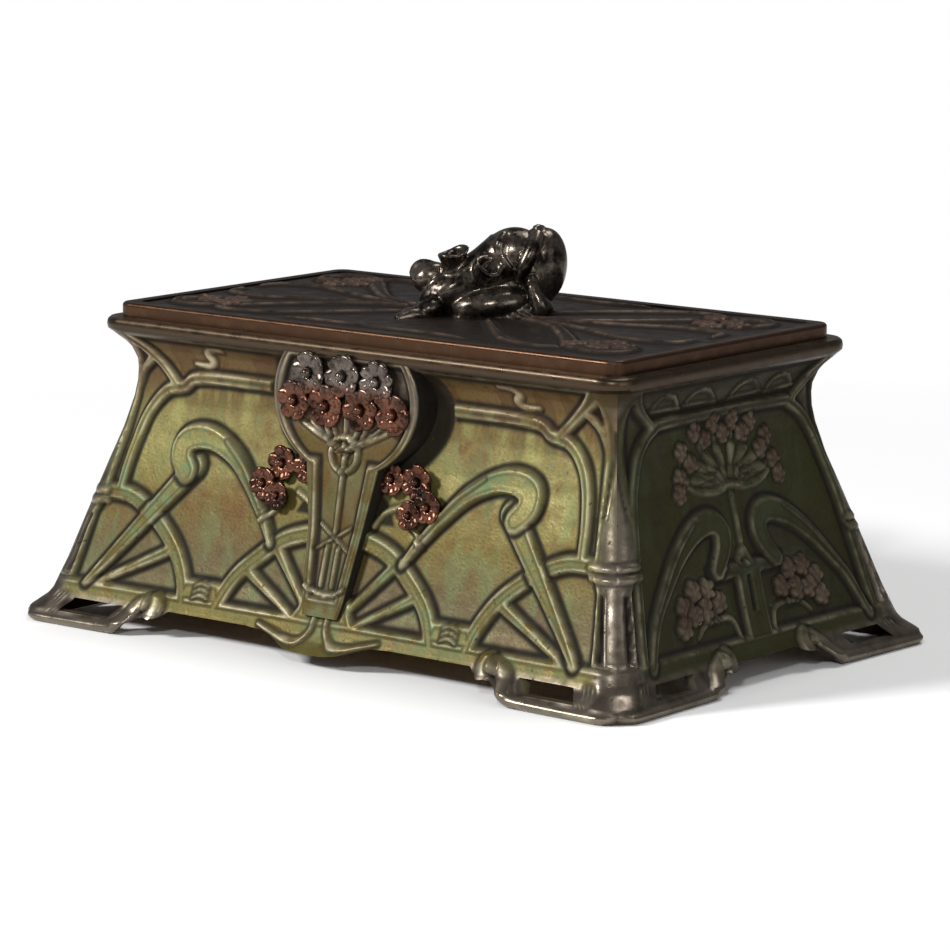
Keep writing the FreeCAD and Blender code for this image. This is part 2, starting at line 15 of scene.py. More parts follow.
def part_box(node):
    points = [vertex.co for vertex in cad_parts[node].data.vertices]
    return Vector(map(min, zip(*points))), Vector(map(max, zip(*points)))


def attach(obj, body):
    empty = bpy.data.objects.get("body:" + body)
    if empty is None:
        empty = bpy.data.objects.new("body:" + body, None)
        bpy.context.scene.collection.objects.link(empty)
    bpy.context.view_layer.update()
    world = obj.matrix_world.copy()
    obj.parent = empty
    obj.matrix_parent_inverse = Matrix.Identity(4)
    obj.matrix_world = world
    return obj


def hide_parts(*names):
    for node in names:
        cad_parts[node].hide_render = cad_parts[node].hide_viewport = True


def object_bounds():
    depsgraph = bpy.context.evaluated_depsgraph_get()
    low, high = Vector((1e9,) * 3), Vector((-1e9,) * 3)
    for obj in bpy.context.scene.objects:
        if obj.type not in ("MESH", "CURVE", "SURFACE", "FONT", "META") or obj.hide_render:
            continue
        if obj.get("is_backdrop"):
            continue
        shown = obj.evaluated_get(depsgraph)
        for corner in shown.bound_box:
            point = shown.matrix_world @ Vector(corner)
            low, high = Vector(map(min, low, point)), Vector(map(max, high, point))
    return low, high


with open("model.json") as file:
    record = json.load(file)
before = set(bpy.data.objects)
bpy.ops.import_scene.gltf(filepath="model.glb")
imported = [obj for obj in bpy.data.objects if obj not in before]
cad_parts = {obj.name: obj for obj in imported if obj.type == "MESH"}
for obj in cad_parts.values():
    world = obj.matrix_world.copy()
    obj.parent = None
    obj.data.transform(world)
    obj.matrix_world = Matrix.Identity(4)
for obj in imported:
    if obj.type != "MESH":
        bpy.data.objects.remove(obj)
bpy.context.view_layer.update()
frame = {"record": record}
LOG = logging.getLogger("inkwell")
MM = 0.001
Pair = tuple[float, float]
Spot = tuple[float, float, float]
Tone = tuple[int, int, int]


class Side(Enum):
    """The four walls: how far each is turned about the casket's upright axis."""

    FRONT = 0
    RIGHT = 1
    BACK = 2
    LEFT = 3


# ------------------------------------------------------------------ curves and meshes
def smooth_curve(points: list[Pair], steps: int = 8) -> np.ndarray:
    """Runs a smooth curve through a few points.

    Args:
        points: the points the curve passes.
        steps: samples between two points.

    Returns:
        The sampled curve as an array of points.
    """
    knots = np.array([points[0], *points, points[-1]], float)
    pieces = []
    for a, b, c, d in zip(knots, knots[1:], knots[2:], knots[3:]):
        t = np.linspace(0, 1, steps, endpoint=False)[:, None]
        pieces.append(0.5 * (2*b + (c - a)*t + (2*a - 5*b + 4*c - d)*t**2 + (3*b - a - 3*c + d)*t**3))
    return np.vstack([*pieces, knots[-1:]])


def ease(value: np.ndarray) -> np.ndarray:
    """Returns a value eased between 0 and 1."""
    t = np.clip(value, 0, 1)
    return t*t*(3 - 2*t)


def make_piece(name: str, points: np.ndarray, faces: list, smooth: float = 40.0) -> bpy.types.Object:
    """Makes a closed mesh piece with outward faces.

    Args:
        name: the piece's name.
        points: corner points in metres.
        faces: index lists, one for each face.
        smooth: the angle in degrees under which edges shade smooth.

    Returns:
        The new object.
    """
    mesh = bpy.data.meshes.new(name)
    mesh.from_pydata(np.asarray(points, float).tolist(), [], faces)
    shell = bmesh.new()
    shell.from_mesh(mesh)
    bmesh.ops.remove_doubles(shell, verts=shell.verts, dist=1e-7)
    bmesh.ops.recalc_face_normals(shell, faces=shell.faces)
    shell.to_mesh(mesh)
    shell.free()
    piece = bpy.data.objects.new(name, mesh)
    bpy.context.scene.collection.objects.link(piece)
    pick(piece)
    bpy.ops.object.shade_smooth_by_angle(angle=math.radians(smooth))
    return piece


def quads(at: np.ndarray) -> list:
    """Returns the faces of a grid of point numbers."""
    return np.stack([at[:-1, :-1], at[1:, :-1], at[1:, 1:], at[:-1, 1:]], -1).reshape(-1, 4).tolist()


def ring_quads(at: np.ndarray) -> list:
    """Returns the faces between rings of point numbers, one ring a row."""
    onward = np.roll(at, -1, axis=1)
    return np.stack([at[:-1], onward[:-1], onward[1:], at[1:]], -1).reshape(-1, 4).tolist()


def spread(values: tuple[float, ...], count: int) -> np.ndarray:
    """Spreads a few values evenly over a number of samples."""
    return np.interp(np.linspace(0, 1, count), np.linspace(0, 1, len(values)), values)


def pick(*pieces: bpy.types.Object) -> None:
    """Selects only these pieces and makes the first one active."""
    bpy.ops.object.select_all(action="DESELECT")
    for piece in pieces:
        piece.select_set(True)
    bpy.context.view_layer.objects.active = pieces[0]


def join(name: str, pieces: list[bpy.types.Object]) -> bpy.types.Object:
    """Joins pieces into one with its place in its mesh.

    Args:
        name: the joined piece's name.
        pieces: what is joined.

    Returns:
        The joined object.
    """
    pick(*pieces)
    bpy.ops.object.join()
    joined = bpy.context.view_layer.objects.active
    bpy.ops.object.transform_apply(location=True, rotation=True, scale=True)
    joined.name = name
    return joined


def paint(piece: bpy.types.Object, **values: np.ndarray) -> None:
    """Stores one number per corner point under each name."""
    for name, numbers in values.items():
        layer = piece.data.attributes.new(name, "FLOAT", "POINT")
        layer.data.foreach_set("value", np.asarray(numbers, np.float32).ravel())


# ------------------------------------------------------------------ relief
@dataclass
class Relief:
    """Cast relief over a grid: heights in millimetres, how much green patina each point carries, how much
    painted shade darkens it, and how much wear and painted highlight lighten it.
    """

    x: np.ndarray
    z: np.ndarray
    step: float = 1.6
    height: np.ndarray = field(init=False)
    raised: np.ndarray = field(init=False)
    # sunk: painted shade, darkest in grooves, hollows and at the feet of ribs
    sunk: np.ndarray = field(init=False)
    # worn_and_highlight: wear on edges and crests, lightened into a painted highlight
    worn_and_highlight: np.ndarray = field(init=False)
    deep: np.ndarray = field(init=False)

    def __post_init__(self) -> None:
        """Starts from a plain wall with no ribs."""
        self.height, self.raised, self.sunk, self.worn_and_highlight = (np.zeros_like(self.x) for _ in range(4))
        self.deep = np.full_like(self.x, -1e3)

    def reach(self, line: np.ndarray, widths: np.ndarray) -> np.ndarray:
        """Measures how far each grid point lies inside a line of changing width.

        Args:
            line: points along the line.
            widths: the line's half-width at each of them.

        Returns:
            Half-width less distance, positive inside.
        """
        best = np.full(self.x.shape, -1e3)
        for (ax, az), (bx, bz), wa, wb in zip(line, line[1:], widths, widths[1:]):
            dx, dz = bx - ax, bz - az
            t = np.clip(((self.x - ax)*dx + (self.z - az)*dz)/max(dx*dx + dz*dz, 1e-9), 0, 1)
            gap = np.hypot(self.x - ax - t*dx, self.z - az - t*dz)
            best = np.maximum(best, wa + (wb - wa)*t - gap)
        return best

    def along(self, points: list[Pair], widths: tuple[float, ...]) -> np.ndarray:
        """Returns the distance inside a smooth band whose half-widths spread evenly along it."""
        line = smooth_curve(points) if len(points) > 2 else np.array(points, float)
        return self.reach(line, spread(widths, len(line)))

    def inside(self, outline: list[Pair]) -> np.ndarray:
        """Returns the distance inside a closed outline, negative outside it."""
        ring = np.array([*outline, outline[0]], float)
        away = -self.reach(ring, np.zeros(len(ring)))
        within = np.zeros(self.x.shape, bool)
        for (ax, az), (bx, bz) in zip(ring, ring[1:]):
            if az != bz:
                crosses = (az > self.z) != (bz > self.z)
                within ^= crosses & (self.x < (bx - ax)*(self.z - az)/(bz - az) + ax)
        return np.where(within, away, -away)

    def soften(self) -> None:
        """Evens out the steps that the grid leaves on slanting ribs."""
        for layer in (self.height, self.sunk, self.worn_and_highlight):
            middle = layer[1:-1, 1:-1]
            around = layer[:-2, 1:-1] + layer[2:, 1:-1] + layer[1:-1, :-2] + layer[1:-1, 2:]
            layer[1:-1, 1:-1] = 0.4*middle + 0.15*around

    def rib(self, points: list[Pair], widths: tuple[float, ...]) -> None:
        """Adds a band to the network of ribs that stand level with the casket's face."""
        self.deep = np.maximum(self.deep, self.along(points, widths))

    def land(self, outline: list[Pair]) -> None:
        """Adds an area to the network of ribs."""
        self.deep = np.maximum(self.deep, self.inside(outline))

    def settle(self) -> None:
        """Raises the network with a sloping side and a fine bead along each edge."""
        self.lift(self.deep, self.step, 1.0)

    def lift(self, deep: np.ndarray, rise: float, tint: float) -> None:
        """Raises what lies inside a distance field above what is there already.

        Args:
            deep: distance inside, positive within the raised part.
            rise: its height above the panels.
            tint: how much of the green patina it carries.
        """
        level = rise*ease((deep + 0.45)/1.1) + 0.22*np.exp(-((deep - 1.0)/0.42)**2)*(deep > -0.5)
        self.height = np.maximum(self.height - 0.45*np.exp(-((deep + 0.75)/0.45)**2), level)
        on = ease((deep + 0.1)/0.6)
        self.raised = self.raised*(1 - on) + tint*on
        # a painted highlight along the rib's edge, with its wear
        self.worn_and_highlight = np.maximum(self.worn_and_highlight*(1 - on), np.exp(-((deep - 0.7)/0.36)**2))
        # painted shade at the rib's foot and a painted dark line inside its top
        foot = np.exp(-((deep + 0.75)/0.8)**2)
        self.sunk = np.maximum(self.sunk*(1 - on), foot)
        self.sunk = np.maximum(self.sunk, 0.5*np.exp(-((deep - 1.75)/0.38)**2))

    def band(self, points: list[Pair], widths: tuple[float, ...], rise: float = 1.8,
             tint: float = 1.0) -> None:
        """Lays a band over the network, standing a little higher."""
        self.lift(self.along(points, widths), rise, tint)

    def wire(self, points: list[Pair], widths: tuple[float, ...], rise: float = 0.8,
             tint: float = 0.3) -> None:
        """Lays a fine round stem over whatever is there."""
        deep = self.along(points, widths)
        half = max(widths)
        round_top = rise*np.sqrt(np.clip(1 - (1 - np.clip(deep/half, 0, 1))**2, 0, 1))
        self.height = self.height + round_top - 0.3*np.exp(-((deep + 0.4)/0.35)**2)
        on = ease((deep + 0.15)/0.4)
        self.raised = self.raised*(1 - on) + tint*on
        # painted highlight on the stem's round top, with its wear, and painted shade at its foot
        self.worn_and_highlight = np.maximum(self.worn_and_highlight*(1 - on), on*np.clip(round_top/rise, 0, 1)**2)
        self.sunk = np.maximum(self.sunk*(1 - on), 0.8*np.exp(-((deep + 0.4)/0.4)**2))

    def hollow(self, outline: list[Pair], depth: float, edge: float = 0.8, dark: float = 0.25) -> None:
        """Sinks a recess below the panels inside a closed outline.

        Args:
            outline: the recess's corners.
            depth: how far it sinks.
            edge: how wide its sloping side is.
            dark: how much painted shade darkens its floor.
        """
        deep = self.inside(outline)
        on = ease(deep/edge)
        floor = np.minimum(self.height, self.height*(1 - on) - depth*on)
        self.height = np.where(deep > 0, floor, self.height)
        self.sunk = np.maximum(self.sunk*(1 - on), dark*on)
        self.raised = self.raised*(1 - on)
        self.worn_and_highlight = self.worn_and_highlight*(1 - on)

    def knob(self, centre: Pair, radius: float, rise: float) -> None:
        """Raises a round boss with a groove about it."""
        gap = np.hypot(self.x - centre[0], self.z - centre[1])
        dome = rise*np.sqrt(np.clip(1 - (gap/radius)**2, 0, 1))
        self.height = np.where(gap < radius, np.maximum(self.height, 0) + dome, self.height)
        ring = np.exp(-((gap - radius - 0.4)/0.4)**2)
        self.height = self.height - 0.5*ring
        # painted shade in the groove and a painted highlight on the dome
        self.sunk = np.where(gap < radius, 0, np.maximum(self.sunk, ring))
        self.worn_and_highlight = np.where(gap < radius, 1 - (gap/radius)**2, self.worn_and_highlight)

    def rings(self, start: float, end: float) -> None:
        """Lays the two rings about the corner post."""
        for height in (38.2, 41.2):
            self.wire([(start, height), (end, height - 0.8)], (1.2, 1.2), 0.9, 0.2)

    def foot(self, scroll: tuple[Pair, float, float], rim: list[Pair], widths: tuple[float, ...],
             strokes: float) -> None:
        """Shapes a foot: its rolled scroll, its rim and three strokes beside the slot.

        Args:
            scroll: middle, radius and rise of the scroll.
            rim: points along the rim.
            widths: the rim's half-widths.
            strokes: where along the wall the strokes begin.
        """
        self.knob(*scroll)
        self.wire(rim, widths, 1.8, 0.0)
        for k in range(3):
            at = strokes + 1.5*k
            self.wire([(at, 8.6), (at + 1.4, 6.4), (at + 0.4, 4.2)], (0.4, 0.5, 0.3), 0.5, 0.0)

    def blossom(self, centre: Pair, radius: float, petals: int, rise: float = 1.2) -> None:
        """Raises a small open flower of round petals about a button."""
        dx, dz = self.x - centre[0], self.z - centre[1]
        gap, turn = np.hypot(dx, dz), np.arctan2(dz, dx)
        lobe = np.abs(np.cos(turn*petals/2))
        edge = radius*(0.72 + 0.28*np.sqrt(lobe))
        on = gap < edge
        cup = rise*(0.45 + 0.55*np.sqrt(lobe))*np.sqrt(np.clip(1 - ((gap/edge - 0.6)/0.55)**2, 0, 1))
        button = 1.1*rise*np.sqrt(np.clip(1 - (gap/(radius*0.26))**2, 0, 1))
        self.height = np.where(on, np.clip(self.height, 0, 0.6) + np.maximum(cup, button), self.height)
        ring = np.exp(-((gap - edge - 0.4)/0.4)**2)*(~on)
        self.height = self.height - 0.5*ring
        # painted shade between the petals and in the groove about them, and a painted highlight on their
        # crests
        self.sunk = np.where(on, 0.6*(1 - lobe)**2, np.maximum(self.sunk, ring))
        self.worn_and_highlight = np.where(on, 0.5*np.maximum(cup, button)/rise, self.worn_and_highlight)
        self.raised = np.where(on, -1.0, self.raised)


def long_wall_relief(x: np.ndarray, z: np.ndarray) -> Relief:
    """The relief of the front and the back, the same left and right of the middle.

    Args:
        x: distances along the wall in millimetres.
        z: heights in millimetres.

    Returns:
        The finished relief.
    """
    r = Relief(np.abs(x), z)
    # base, cornice and corner post
    r.land([(-9, -9), (140, -9), (140, 13.8), (-9, 13.8)])
    r.land([(40, 12), (60.5, 12), (57.5, 19.2), (43, 19.2)])
    r.land([(-9, 90.2), (140, 90.2), (140, 120), (-9, 120)])
    r.land([(91.2, 96), (92.6, 80), (94.8, 60), (96.6, 48), (97.8, 39), (100.6, 34), (104, 14), (140, 14),
            (140, 96)])
    r.land([(-9, 12), (14, 12), (10.6, 16.4), (9.4, 21), (-9, 21)])
    # fan about the column, with two spokes, and the fan in the corner
    r.rib([(6, 39.0), (20, 35.4), (30.5, 28.6), (38.8, 21), (43.5, 12)], (2.8, 2.8, 2.7))
    r.rib([(6, 14.5), (24.5, 33)], (1.1, 1.9))
    r.rib([(11, 12.6), (34.5, 24.6)], (1.0, 1.8))
    r.rib([(57, 12), (59, 18.4), (64, 26), (71.4, 32.6), (80.8, 38.2), (89, 41), (100, 41)],
          (2.6, 2.7, 2.6, 2.4))
    r.rib([(67.5, 26), (94, 13.5)], (1.9, 1.2))
    # frame of the upper field and the brace at the head of the post
    r.rib([(34, 79), (66, 78.6), (73.5, 75.4), (81, 73.4), (87.4, 66), (91, 54), (92.4, 43)],
          (2.0, 2.0, 1.9, 1.7))
    r.rib([(77, 76), (84.5, 83), (96, 92)], (1.6, 1.7, 2.4))
    r.rib([(85.5, 84), (91.5, 79), (95.4, 70)], (1.5, 1.3, 0.8))
    r.settle()
    # moat about the medallion and the pocket behind the flower groups, both darkened with painted shade
    moat = [(37*math.cos(math.radians(a)), 78 + 26*math.sin(math.radians(a))) for a in range(-58, 27, 7)]
    r.hollow([(0, 56), *moat, (33.5, 90.4), (0, 90.4)], 2.6, 1.4, 0.8)
    r.hollow([(10.5, 42.5), (21, 42.5), (16, 50), (12, 53)], 1.6, 1.0, 0.85)
    # fluting of the post, its ring and the slot below; fluting and slot darkened with painted shade
    r.hollow([(94.8, 79), (95.8, 66), (97.0, 54), (97.9, 54), (97.2, 66), (96.2, 79)], 0.7, 0.5, 0.7)
    r.hollow([(101.4, 33.7), (103.4, 33.7), (108.4, 14.8), (106, 14.8)], 1.2, 0.5, 0.85)
    r.rings(97, 118)
    # whiplash and its straight stalk
    r.band([(63.6, 52), (80, 33.8), (98, 13.5)], (4.0, 2.9, 1.5), 1.7)
    r.band([(26.5, 33), (31, 39.4), (38, 47.6), (46.5, 55.6), (56, 60.3), (64, 61.0), (69.3, 58.6),
            (69.4, 54.2), (66, 50.4)], (1.2, 1.8, 2.4, 3.1, 3.9, 4.4, 4.3, 3.8), 2.1)
    r.wire([(33, 43), (42, 53.3), (52, 60.8)], (0.4, 0.5, 0.3), 0.4, 0.8)
    # squiggle in the cove, stem of the flower group, bud on the base and the pendant's loop
    r.wire([(55.2, 88.3), (60, 88.1), (62.6, 86.2), (60.6, 84.4), (63, 82.6), (69, 82.7)],
           (0.7, 1.5, 0.8), 0.9, 0.7)
    r.wire([(12, 42.5), (15, 46.5), (20.5, 49)], (1.1, 0.8), 1.0)
    r.wire([(32, 39.5), (26.5, 44.5), (27, 48)], (0.9, 0.6), 1.0)
    for k in range(3):
        r.wire([(47, 17.4 - 1.7*k), (50, 18.4 - 1.7*k), (53, 17.2 - 1.7*k)], (0.3, 0.6, 0.3), 0.5, 0.6)
    r.wire([(0, 19.6), (2.2, 18.2), (2.6, 14), (3.2, 10.4), (7, 7.2), (14, 7.6), (24, 10)],
           (0.8, 0.9, 1.0, 0.6), 0.9, 0.3)
    # rolled ends and rims of the feet
    r.foot(((67.2, 9.6), 4.2, 2.2), [(70, 10.6), (74.5, 8.2), (78, 3.6), (84, 1.7), (118, 1.5)],
           (2.4, 2.3, 1.7), 104.2)
    return r


def end_wall_relief(y: np.ndarray, z: np.ndarray) -> Relief:
    """The relief of the two ends, the same either side of the middle.

    Args:
        y: distances along the wall in millimetres.
        z: heights in millimetres.

    Returns:
        The finished relief.
    """
    r = Relief(np.abs(y), z)
    r.land([(-9, -9), (90, -9), (90, 14.2), (-9, 14.2)])
    r.land([(-9, 90.2), (90, 90.2), (90, 120), (-9, 120)])
    r.land([(44.4, 96), (45.8, 80), (47.9, 60), (50.2, 47), (52.6, 39), (56.2, 34), (60.5, 14), (90, 14),
            (90, 96)])
    r.rib([(-9, 79.2), (27, 79), (34, 77.4), (40.4, 72.5), (44.6, 65), (48.4, 54), (52, 39), (57, 14)],
          (1.9, 1.9, 1.7, 1.7))
    r.rib([(33, 78), (40, 83.5), (49, 92)], (1.3, 1.6, 2.0))
    r.rib([(-9, 14), (-9, 31)], (9, 9))
    r.land([(-9, 12), (5.8, 12), (5.8, 31), (17.5, 31), (18.5, 35.2), (6, 35.2), (-9, 35.2)])
    r.settle()
    # hollows darkened with painted shade: the groove in the stem, the fluting and the slot
    r.hollow([(-1.3, 20), (1.3, 20), (1.3, 31.4), (-1.3, 31.4)], 0.6, 0.5, 0.8)
    r.hollow([(48.0, 79), (49.2, 66), (50.6, 54), (51.4, 54), (50.6, 66), (49.4, 79)], 0.7, 0.5, 0.7)
    r.hollow([(57.4, 33.7), (59.4, 33.7), (64.6, 14.8), (62.2, 14.8)], 1.2, 0.5, 0.85)
    # cove: lens shapes and a whip line
    for first, last in ((3, 19), (21, 35)):
        top = (first + last)/2
        r.wire([(first, 82.4), (top - 3, 86.4), (top + 3, 86.6), (last, 83)], (0.5, 0.9, 0.5), 0.9, 0.4)
        r.wire([(first, 82.4), (top, 82.8), (last, 83)], (0.4, 0.6, 0.4), 0.7, 0.4)
    # flower head: stem, bowl, rays and small flowers
    r.wire([(0, 35), (0, 58)], (1.3, 1.0), 1.1, 0.4)
    heads = [(23, 62), (20.6, 69.4), (13.4, 74.4), (4.6, 76)]
    for tip_y, tip_z in heads:
        r.wire([(0.3, 57.4), (tip_y*0.62, 58.2 + (tip_z - 58)*0.42), (tip_y, tip_z)], (1.0, 1.2, 0.8), 0.9)
    r.wire([(0, 57.6), (8, 56.2), (16, 57.4), (22, 60.6)], (1.4, 1.3, 0.8), 1.0)
    for leaf in ((3.4, 68.4), (9.0, 67.2), (13.8, 64.4), (16.4, 60.8)):
        r.wire([(leaf[0]*0.45, 60.4 + (leaf[1] - 60)*0.4), leaf], (0.5, 1.7), 0.7)
    for tip in (*heads, (24.4, 57.6), (17.2, 65.8), (9, 71.8), (0, 72.4)):
        r.blossom(tip, 3.1, 5, 1.3)
    # whiplash, bud and flower groups at the foot
    r.band([(54, 12), (47.5, 24), (40, 32.6), (31, 41.0), (21.5, 46.8), (13.4, 48.3), (9.0, 45.2), (10, 40),
            (14.4, 34.4)], (1.5, 2.0, 2.8, 3.7, 3.9, 3.6, 2.8), 1.7)
    r.wire([(46, 27), (33, 40.8), (22, 48.8)], (0.3, 0.5, 0.3), 0.4, 0.6)
    r.wire([(-3, 35.6), (0, 38.4), (3, 35.6)], (1.0, 1.4, 1.0), 0.9)
    r.wire([(8.6, 14.6), (10.6, 19.6), (17, 20.6), (24, 19.6), (28, 16.6)], (0.8, 0.9, 0.6), 0.9)
    for number in range(3):
        r.wire([(17 + 2*number, 20), (19 + 5*number, 26 - 1.2*number)], (0.7, 0.5), 0.7)
    for centre in ((15.5, 25.4), (20.4, 29.6), (27.0, 30.0), (32.6, 26.0), (22.6, 24.0), (28.4, 23.4),
                   (34, 20.4)):
        r.blossom(centre, 3.5, 5, 1.5)
    r.rings(52, 74)
    r.foot(((19.5, 9.4), 3.9, 2.1), [(22.4, 10), (27, 7.2), (31, 3.2), (37, 1.7), (75, 1.5)],
           (2.3, 2.2, 1.7), 59.2)
    return r


# ------------------------------------------------------------------ walls
@dataclass
class Walls:
    """The cast walls of the casket, one piece a side, meeting on the corner mitres."""

    rim: Pair = (103.4, 56.6)
    end_share: float = 0.8
    corner: float = 9.5
    height: float = 95.5
    skin: float = 3.8
    inset: float = 1.5
    mouth: Pair = (94.0, 46.0)
    sag: float = 1.5
    column_step: float = 0.5
    rows: int = 172
    arc_steps: int = 14
    knee: float = 14.0
    slot: Pair = (4.4, 8.3)
    long_slot: Pair = (81.0, 102.0)
    end_slot: Pair = (38.0, 57.0)
    slot_middle: float = 6.4
    lining_levels: tuple[float, ...] = (40.0, 60.0, 79.0)
    lining_corner: float = 3.0
    lining_shade: float = 0.6
    leaf_seat: tuple[float, ...] = (13.1, 40, 53.4, 94.3)
    barrel_seat: tuple[float, ...] = (13.75, 53.1, 62.5, 92.9)
    seat_height: float = 4.0
    flare: tuple[Pair, ...] = (
        (0, 21.0), (2, 22.0), (4, 21.8), (5.8, 19.5), (7.6, 17.3), (9.5, 16), (11.4, 15.2), (19, 12.2),
        (30.4, 8.3), (40, 5), (49.5, 1.7), (60, -2.1), (70, -5), (75, -5.9), (79, -6.1), (82, -5.9),
        (84, -5.2), (86, -4.4), (88, -2.9), (90, -0.8), (91.4, 0.6), (92, 1.4), (93.4, 1.6), (94.8, 1.4),
        (95.5, 0.7))
    post_edge: tuple[Pair, ...] = (
        (0, 108), (14, 104), (34, 101), (46, 96.8), (60, 95.2), (80, 93.4), (90, 92.4))
    long_foot: tuple[Pair, ...] = (
        (0, 4.4), (6, 4.5), (11, 5.2), (17, 7.0), (23, 8.4), (30, 8.8), (63, 8.8), (64.6, 6.9), (67, 6.1),
        (69.6, 6.5), (72.5, 5.6), (76.5, 1.8), (80, 0), (130, 0))
    end_foot: tuple[Pair, ...] = (
        (0, 8), (15.6, 8), (17.2, 6.7), (19.5, 6.2), (22, 6.4), (26, 4.6), (30.5, 0.9), (34, 0), (90, 0))

    def outline(self, side: Side, z: np.ndarray) -> tuple[np.ndarray, np.ndarray]:
        """Returns the wall's half-length and its distance out at heights in millimetres."""
        flare = np.interp(z, *zip(*self.flare))
        length, width = self.rim[0] + self.end_share*flare, self.rim[1] + flare
        return (length, width) if side in (Side.FRONT, Side.BACK) else (width, length)

    def lining(self, side: Side, z: np.ndarray) -> tuple[np.ndarray, np.ndarray]:
        """Returns the same for the inner skin, which closes to the mouth under the lid."""
        long_side = side in (Side.FRONT, Side.BACK)
        mouth = self.mouth if long_side else self.mouth[::-1]
        halves = []
        _, start, end = self.lining_levels
        for outer, narrow in zip(self.outline(side, np.minimum(z, start)), mouth):
            closing = (narrow - outer + self.skin)*np.clip((z - start)/(end - start), 0, 1)
            halves.append(np.where(z > start, (outer - self.skin) + closing, outer - self.skin))
        return halves[0], halves[1]

    def plan(self, half: np.ndarray, out: np.ndarray, radius: float, columns: np.ndarray
             ) -> tuple[np.ndarray, np.ndarray, np.ndarray, np.ndarray]:
        """Lays columns along a rounded side.

        Args:
            half: the side's half-length at each row.
            out: its distance out at each row.
            radius: the corner's radius.
            columns: -1 to 1 along the straight, and past that eighths of a turn round the corner.

        Returns:
            Distance along, distance out, and the two parts of the outward direction.
        """
        turn = np.clip(np.abs(columns) - 1, 0, 1)*math.pi/4*np.sign(columns)
        straight = np.clip(columns, -1, 1)
        along = straight*(half - radius) + radius*np.sin(turn)
        away = out - radius + radius*np.cos(turn)
        return along, away, np.sin(turn), np.cos(turn)

    def build(self, side: Side) -> bpy.types.Object:
        """Makes one wall as a closed mesh with its relief."""
        long_side = side in (Side.FRONT, Side.BACK)
        half_length = self.outline(side, np.array([10.0]))[0][0]
        count = int(2*half_length/self.column_step)
        corner = 1 + np.arange(1, self.arc_steps + 1)/self.arc_steps
        columns = np.concatenate([-corner[::-1], np.linspace(-1, 1, count), corner])
        levels = np.linspace(0, self.height, self.rows)
        for value in self.slot:
            levels[np.argmin(np.abs(levels - value))] = value
        foot = self.long_foot if long_side else self.end_foot
        start = self.plan(*self.outline(side, np.zeros(1)), self.corner, columns)[0]
        lift = np.interp(np.abs(start), *zip(*foot))[:, None]
        column_grid, z = self.grid(columns, levels, lift)
        half, out = self.outline(side, z)
        along, away, nx, ny = self.plan(half, out, self.corner, column_grid)
        relief = (long_wall_relief if long_side else end_wall_relief)(along, z)
        relief.soften()
        fade = np.clip((2 - np.abs(column_grid))/0.6, 0, 1)*np.clip((self.height - 2.5 - z)/3, 0, 1)
        sag = self.sag*np.clip(1 - (along/half)**2, 0, 1)*np.clip((74 - z)/50, 0, 1)
        push = (relief.height - self.inset)*fade - sag
        outer = self.turned(side, along + push*nx, away + push*ny, z)
        inner_levels = np.array([0, *self.slot, self.knee, *self.lining_levels, self.height])
        col_in, z_in = self.grid(columns, inner_levels, lift)
        in_along, in_away, _, _ = self.plan(*self.lining(side, z_in), self.lining_corner, col_in)
        inner = self.turned(side, in_along, in_away, z_in)
        # the slot through each foot
        mid = self.plan(*self.outline(side, np.array([self.slot_middle])), self.corner, columns)[0]
        holes = []
        for sign in (-1, 1):
            ends = sorted(int(np.argmin(np.abs(mid - sign*value)))
                          for value in (self.long_slot if long_side else self.end_slot))
            holes.append((ends[0], ends[1]))
        rows = [int(np.argmin(np.abs(levels - value))) for value in self.slot]
        points, faces = self.stitch(outer, inner, holes, rows)
        piece = make_piece(f"{side.name.lower()}_wall", points, faces)
        polish = self.polish(long_side, along, z)
        # sunk carries the painted shade; worn_and_highlight the wear with its painted highlight
        layers = {"raised": relief.raised*fade, "sunk": relief.sunk, "worn_and_highlight": relief.worn_and_highlight*fade,
                  "polish": polish}
        self.colour_in(piece, outer, layers)
        return piece

    def grid(self, columns: np.ndarray, levels: np.ndarray, lift: np.ndarray
             ) -> tuple[np.ndarray, np.ndarray]:
        """Spreads columns and levels over a wall, with the levels squeezed above a foot's outline.

        Args:
            columns: where the columns stand.
            levels: heights in millimetres.
            lift: how high the lower edge stands at each column.

        Returns:
            The column and the height of each grid point.
        """
        column_grid, level_grid = np.meshgrid(columns, levels, indexing="ij")
        squeezed = lift + level_grid*(self.knee - lift)/self.knee
        return column_grid, np.where(level_grid < self.knee, squeezed, level_grid)

    def polish(self, long_side: bool, along: np.ndarray, z: np.ndarray) -> np.ndarray:
        """Returns how rubbed a wall is: most on the corner posts, the feet's rims and the casket's rim."""
        shift = 0 if long_side else self.rim[0] - self.rim[1] - 0.5
        edge_of_post = np.interp(z, *zip(*self.post_edge)) - shift
        post = ease((np.abs(along) - edge_of_post)/3)*np.clip(0.72 + 0.28*np.cos((z - 20)/24), 0, 1)
        foot_rim = ease((11 - z)/4)*ease((np.abs(along) - (58 if long_side else 14))/5)
        return np.maximum(np.maximum(post, foot_rim), ease((z - 89.8)/1.4))

    def colour_in(self, piece: bpy.types.Object, outer: np.ndarray, layers: dict[str, np.ndarray]) -> None:
        """Stores each layer on the wall's outer skin; the lining only gets painted shade."""
        total = len(piece.data.vertices)
        found = np.zeros((len(layers), total))
        found[list(layers).index("sunk")] = self.lining_shade
        spots = np.empty(total*3)
        piece.data.vertices.foreach_get("co", spots)
        from_grid = {tuple(np.round(p, 6)): k for k, p in enumerate(outer.reshape(-1, 3))}
        flat = np.stack([layer.ravel() for layer in layers.values()])
        for k, spot in enumerate(spots.reshape(-1, 3)):
            source = from_grid.get(tuple(np.round(spot, 6)))
            if source is not None:
                found[:, k] = flat[:, source]
        paint(piece, **dict(zip(layers, found)))

